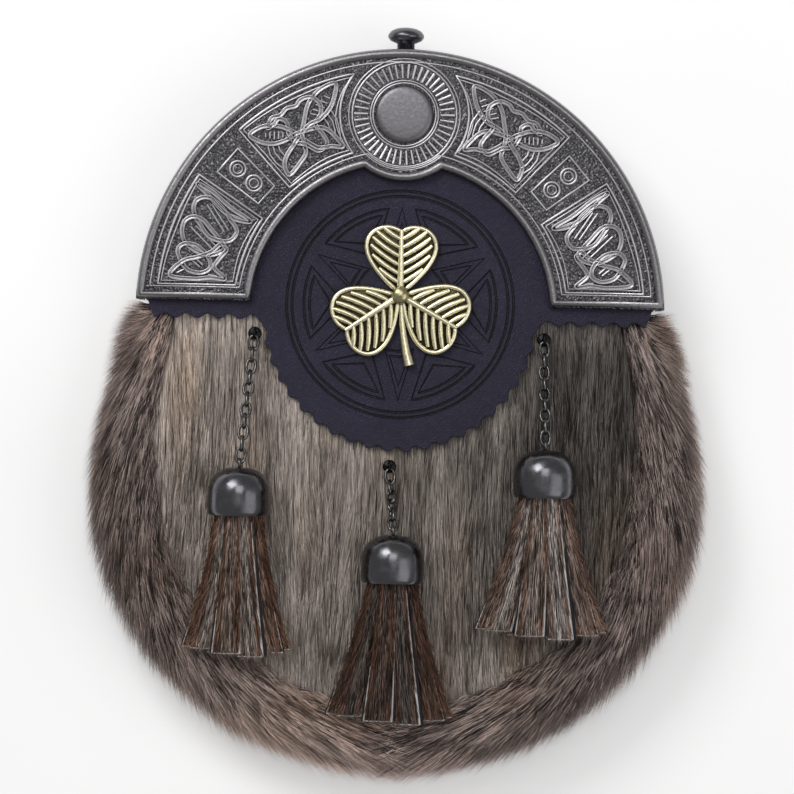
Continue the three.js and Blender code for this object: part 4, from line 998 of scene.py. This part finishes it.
def growBand(name, start, stop):
    n = furSize["band"]
    share = rng.uniform(start, stop, n)
    crowded = (rng.uniform(0, 1, n) < furSize["crowded"]) & (start != bandEnds[1])
    nearTop = rng.uniform(0.002, 0.03, n)  # extra roots at the band's two upper ends
    share = np.where(crowded, nearTop if start < 0.5 else 1 - nearTop, share)
    theta = np.radians(rng.uniform(-62, 162, n))
    step = 1e-3
    root = bandPoint(theta, share)
    forward = unit(bandPoint(theta, share + step) - bandPoint(theta, share - step))
    across = unit(bandPoint(theta - 0.02, share) - bandPoint(theta + 0.02, share))
    normal = unit(np.cross(across, forward))
    outward = unit(np.stack([root[:, 0], root[:, 1] - bodyY, 0 * root[:, 0]], -1))
    along = share * furSize["bandRun"]
    way = np.clip((0.5 - share) * 50, -1, 1)  # from both sides down to the middle
    end = np.minimum(share, 1 - share)
    shoulder = np.clip(end * 7 + 0.08, 0.1, 1)
    crown = np.clip(1 - end / 0.05, 0, 1)  # 1 at the upper ends
    length = furSize["bandLength"] * rng.uniform(0.6, 1.12, n) * (1 - 0.4 * crown * rng.uniform(0, 1, n))
    edge = np.clip(np.cos(theta), 0, 1)  # 1 on the pouch's outline, 0 on the crest
    past = 5.2 + 4.2 * np.clip(end * 5, 0, 1)  # how far tips pass the hide's edge
    reach = past * rng.uniform(0.55, 1.02, n)
    aside = np.minimum(length * (0.55 + 0.2 * crown), 1.5 + edge * (reach + 4 * crown))
    aside = np.where(edge > 0, aside, length * 0.12)
    gather = clump(theta * 13, along, 3.0, 11, 21) * 0.6
    aside = aside * (1 - 0.25 * (1 - np.abs(way))) - gather * 0.6
    run = np.sqrt(np.maximum(4, length**2 - aside**2)) * way
    sweep = rng.normal(0, 0.7, n) + length * 0.08 * ripple(along, theta * 12, 26, 15)
    flow = forward * run[:, None] + outward * (aside + sweep * 0.5)[:, None]
    flow[:, 1] += (3 * crown - 2.5 * (1 - np.abs(way))) * edge
    into = np.sum(flow * normal, axis=1, keepdims=True)
    flow -= normal * np.minimum(into, 0)
    lift = 1.2 + 1.3 * ripple(along, theta * 10, 7, 11) + rng.uniform(0, 1.8, n)
    lift = lift.clip(0.3, 5) * shoulder
    middle = root + flow * 0.5 + normal * (lift * 0.9 + 0.5 * shoulder)[:, None]
    tip = root + flow + normal * (lift * 0.5)[:, None]
    halfRun = 0.5 * np.sign(way) * np.abs(run) / furSize["bandRun"]
    bent = bandPoint(theta, np.clip(share + halfRun, 0.001, 0.999))
    bent = bent + outward * (aside * 0.35)[:, None] + normal * lift[:, None]
    middle = middle * 0.6 + bent * 0.4
    streak = 0.4 + 0.2 * ripple(share * 90, theta * 7, 6, 12) + 0.2 * ripple(along, theta * 26, 9, 13)
    streak += 0.4 * ripple(share * 200, theta * 40, 4.5, 17) + rng.normal(0, 0.34, n) + 0.12 * edge
    tint = mixTint(streak, bandLook["dark"], bandLook["pale"])
    tan = np.exp(-(((share - 0.37) / 0.06) ** 2)) * np.clip(0.9 - 0.5 * np.sin(theta), 0, 1)
    tan = tan[:, None]
    tint = tint * (1 - tan) + mixTint(streak + 0.15, (70, 56, 44), bandLook["tan"]) * tan
    warm = np.clip(0.8 * ripple(along, theta * 10, 40, 14), 0, 1)[:, None]
    tint = tint * np.interp(share, bandLook["share"], bandLook["gain"])[:, None]
    tint = tint * (1 + warm * np.array(bandLook["warm"]))
    width = furSize["bandWidth"] * rng.uniform(0.7, 1.25, n)
    growHair(name, (0.2, 0.8, 1.6), root, middle, tip, normal, width, tint)


growFront("frontFur_left", -1, 0)
growFront("frontFur_right", 0, 1)
for name, start, stop in zip(("left", "low", "right"), bandEnds, bandEnds[1:]):
    growBand(f"bandFur_{name}", start, stop)
print("pouch fur ready")

# Tassels: strips of fur hide with pale cut edges
stripColumns = ("across", "lift", "width", "length", "around", "grey", "cuts")
stripRows = [  # cuts: the pale edges that show, as side, start and width
    (-15, -3.5, 8, 0.96, 190, 0.4, [(0, 0.85, 0.25)]),
    (-5.5, -5.2, 9, 1.0, 240, 0.3, []),
    (5.5, -5.2, 9, 1.01, 300, 0.4, [(1, 0.6, 0.3)]),
    (15, -3.5, 8, 0.97, 350, 0.3, [(0, 0.5, 0.3)]),
    (-12, -2, 8, 0.97, 150, 0.9, [(1, 0.35, 0.42)]),
    (-3.4, 0.4, 9, 1.0, 110, 0.6, [(0, 0.7, 0.3), (1, 0.22, 0.5)]),
    (5.4, 0, 8, 1.02, 70, 1.0, [(1, 0.2, 0.55)]),
    (13, -2, 7.5, 0.99, 25, 0.35, [(1, 0.75, 0.25)]),
]
strips = [dict(zip(stripColumns, row)) for row in stripRows]
tasselSize = {"length": 45.0, "plug": 8.5, "wall": 1.6, "neck": 4, "hairs": 680, "hairLength": 10.0,
              "hairWidth": 0.11}
lookColumns = ("fan", "dark", "pale", "shade", "grey", "gain")
lookRows = {
    "left": (0.9, (52, 33, 25), (136, 96, 72), (42, 36, 34), (176, 164, 156), 1.9),
    "middle": (1.1, (40, 24, 18), (140, 96, 72), (28, 23, 22), (140, 128, 121), 1.2),
    "right": (1.15, (56, 40, 34), (134, 106, 90), (46, 41, 40), (188, 178, 172), 2.2),
}


def stripPoint(strip, fan, u, v):  # u across from 0 to 1, v down from the bell to the tip
    plug, tall = tasselSize["plug"], bellSize["height"]
    turn = math.radians(strip["around"])
    start = np.array((math.cos(turn) * plug * 0.62, -tall * 0.6, math.sin(turn) * plug * 0.62))
    end = np.array((strip["across"] * fan, -tall - tasselSize["length"] * strip["length"], strip["lift"]))
    mid = np.array((strip["across"] * fan * 0.42, -tall - tasselSize["length"] * 0.3,
                    start[2] * 0.45 + end[2] * 0.35))
    u, v = np.asarray(u, float), np.asarray(v, float)
    w = v[..., None]
    centre = (1 - w) ** 2 * start + 2 * w * (1 - w) * mid + w**2 * end
    half = (tasselSize["neck"] + (strip["width"] - tasselSize["neck"]) * v) / 2
    slope = strip["across"] * 0.012
    across = np.array((math.cos(slope), 0, -math.sin(slope)))
    crown = (1 - (2 * u - 1) ** 2) * 0.6 + tasselSize["wall"] / 2
    return centre + ((2 * u - 1) * half)[..., None] * across + crown[..., None] * np.array(plainUp)


def buildStrip(bm, strip, fan, spot):
    part = bmesh.new()
    bmesh.ops.create_grid(part, x_segments=6, y_segments=16, size=1)
    uv = np.array([v.co[:] for v in part.verts])
    for vert, place in zip(part.verts, stripPoint(strip, fan, (uv[:, 0] + 1) / 2, (1 - uv[:, 1]) / 2)):
        vert.co = place + spot
    part.normal_update()
    bmesh.ops.solidify(part, geom=part.faces[:], thickness=tasselSize["wall"])
    outwards(part)
    for face in part.faces:
        face.material_index = 2 if face.normal.z > 0.3 else 0
    count = len(part.faces)
    rise = np.array((0, 0, 0.15))
    for u, first, thick in strip["cuts"]:
        v = np.linspace(first, 1, 12)
        line = stripPoint(strip, fan, np.full_like(v, u), v) + rise
        # beside each pale edge, a dark suede tube a little lower: painted shade in the gap to the next strip
        shadeTubeShift = np.array(((2 * u - 1) * thick * 1.7, 0, -0.1))
        for shift, thin, index in ((0, 0.3, 1), (shadeTubeShift, 0.2, 0)):
            points = [tuple(q + spot + shift) for q in line]
            wire(part, points, thick, sides=1, taper=list(np.linspace(thin, 1, 12)))
            count = paint(part, count, index)
    line = stripPoint(strip, fan, np.linspace(0, 1, 8), np.ones(8)) - rise
    wire(part, [tuple(q + spot) for q in line], 0.26, sides=1)
    paint(part, count, 1)
    join(bm, part)


def stripHair(strip, look, spot):
    n = tasselSize["hairs"]
    fan = look["fan"]
    u = rng.uniform(0.06, 0.94, n)
    v = rng.uniform(0.02, 0.98, n)
    root = stripPoint(strip, fan, u, v) + spot
    length = tasselSize["hairLength"] * rng.uniform(0.6, 1.1, n)
    longV = np.minimum(1.0, v + length / (tasselSize["length"] + 6))
    sway = clump(u * 8, v * 45, 2.4, 9, 5) * 0.05 + rng.normal(0.02, 0.06, n) + (u - 0.5) * 0.12
    lift = rng.uniform(0.3, 1.3, n)
    halfway = stripPoint(strip, fan, np.clip(u + sway * 0.5, 0.03, 0.97), (v + longV) / 2) + spot
    outer = 0.55 if abs(strip["across"]) > 10 else 0.12
    low, high = (-outer, 1.0) if strip["across"] < 0 else (0.0, 1 + outer)
    sway += outer * np.sign(strip["across"]) * rng.uniform(0, 1, n) ** 2 * (np.abs(u - 0.5) > 0.3)
    tip = stripPoint(strip, fan, np.clip(u + sway, low, high), longV) + spot
    tip[:, 1] -= np.where(longV >= 1, rng.uniform(0, 2.4, n) ** 1.5 * 0.6, 0)
    halfway[:, 2] += lift
    tip[:, 2] += lift * 0.7
    shade = 0.45 + 0.35 * ripple(u * 8, v * 6, 2.4, 31 + int(strip["around"])) + rng.normal(0, 0.26, n)
    # hair towards a strip's long edges is darkened: painted shade between the strips
    tint = mixTint(shade, look["dark"], look["pale"]) * (1 - 0.5 * np.abs(2 * u - 1) ** 6)[:, None]
    middleShare = strip["grey"] * np.clip(1.7 - np.abs(u - 0.5) * 4.4, 0, 1)[:, None]
    tint = tint * (1 - middleShare) + mixTint(shade, look["shade"], look["grey"]) * middleShare
    return root, halfway, tip, tint


def buildTassel(side):
    look = dict(zip(lookColumns, lookRows[side]))
    spot = np.array(bellSpots[side])
    bm = bmesh.new()
    grown = []
    for strip in strips:
        buildStrip(bm, strip, look["fan"], spot)
        grown.append(stripHair(strip, look, spot))
    plug, tall = tasselSize["plug"], bellSize["height"] * 0.97
    turned(bm, [(0, -8), (plug, -8), (plug, -tall), (0, -tall)], 24, tuple(spot), (0, 1, 0))
    hides = [suede, whiteHide, stripHide]
    addPiece(f"tasselStrips_{side}", meshOf(bm, f"tassel_{side}"), hides, [f"tassel_{side}"])
    root, middle, tip, tint = (np.concatenate(part) for part in zip(*grown))
    n = len(root)
    width = tasselSize["hairWidth"] * rng.uniform(0.7, 1.2, n)
    growHair(f"tasselFur_{side}", (0.3, 0.9, 1.4), root, middle, tip,
             np.tile(plainUp, (n, 1)), width, tint * look["gain"])


for side in sides:
    buildTassel(side)
print("tassels ready")

# Back panel and belt loops: the frame's own leather with worn edges, and a stitched seam
backSize = {"edge": 0.5, "seam": 3.5, "pitch": 4.2, "stitch": 2.8, "thread": 0.32}


def edged(nodeName):
    bm = bmesh.new()
    bm.from_mesh(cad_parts[nodeName].data)
    bmesh.ops.remove_doubles(bm, verts=bm.verts, dist=1e-6)
    bmesh.ops.dissolve_limit(bm, angle_limit=math.radians(4), verts=bm.verts[:], edges=bm.edges[:])
    toDrawing = Matrix.Scale(1 / mm, 4) @ Matrix.Translation((-arcX, -arcY, 0))
    bmesh.ops.transform(bm, matrix=toDrawing, verts=bm.verts)
    sharp = [e for e in bm.edges if len(e.link_faces) == 2 and e.calc_face_angle(0) > math.radians(40)]
    bevelEdges(bm, sharp, backSize["edge"], 2)
    bmesh.ops.triangulate(bm, faces=bm.faces[:])
    return bm


def seamRun(bm):  # a line of stitches inside the panel's rear edge
    floorZ = min(v.co.z for v in bm.verts)
    low = [v.co.copy() for v in bm.verts if v.co.z < floorZ + 0.05]
    centre = sum(low, Vector()) / len(low)
    low.sort(key=lambda p: math.atan2(p.y - centre.y, p.x - centre.x))
    inset = [p + (centre - p).normalized() * backSize["seam"] for p in low]
    steps = [(b - a).length for a, b in zip(inset, inset[1:] + inset[:1])]
    reached = np.concatenate([[0], np.cumsum(steps)])
    ring = np.array([p[:] for p in inset + inset[:1]])
    count = int(reached[-1] / backSize["pitch"])
    for k in range(count):
        at = reached[-1] * k / count + np.array((-0.5, 0, 0.5)) * backSize["stitch"]
        at = np.clip(at, 0, reached[-1])
        line = [(np.interp(s, reached, ring[:, 0]), np.interp(s, reached, ring[:, 1]), floorZ + z)
                for s, z in zip(at, (0.3, -0.02, 0.3))]
        wire(bm, line, backSize["thread"], sides=1)


for name in ("back_panel", "belt_loop_left", "belt_loop_right"):
    body = edged(name)
    count = len(body.faces)
    if name == "back_panel":
        seamRun(body)
    paint(body, count, 1)
    worn = [blackLeather, thread]
    addPiece(f"{name}_leather", meshOf(body, name), worn, [name], smooth=False)
print("back ready")
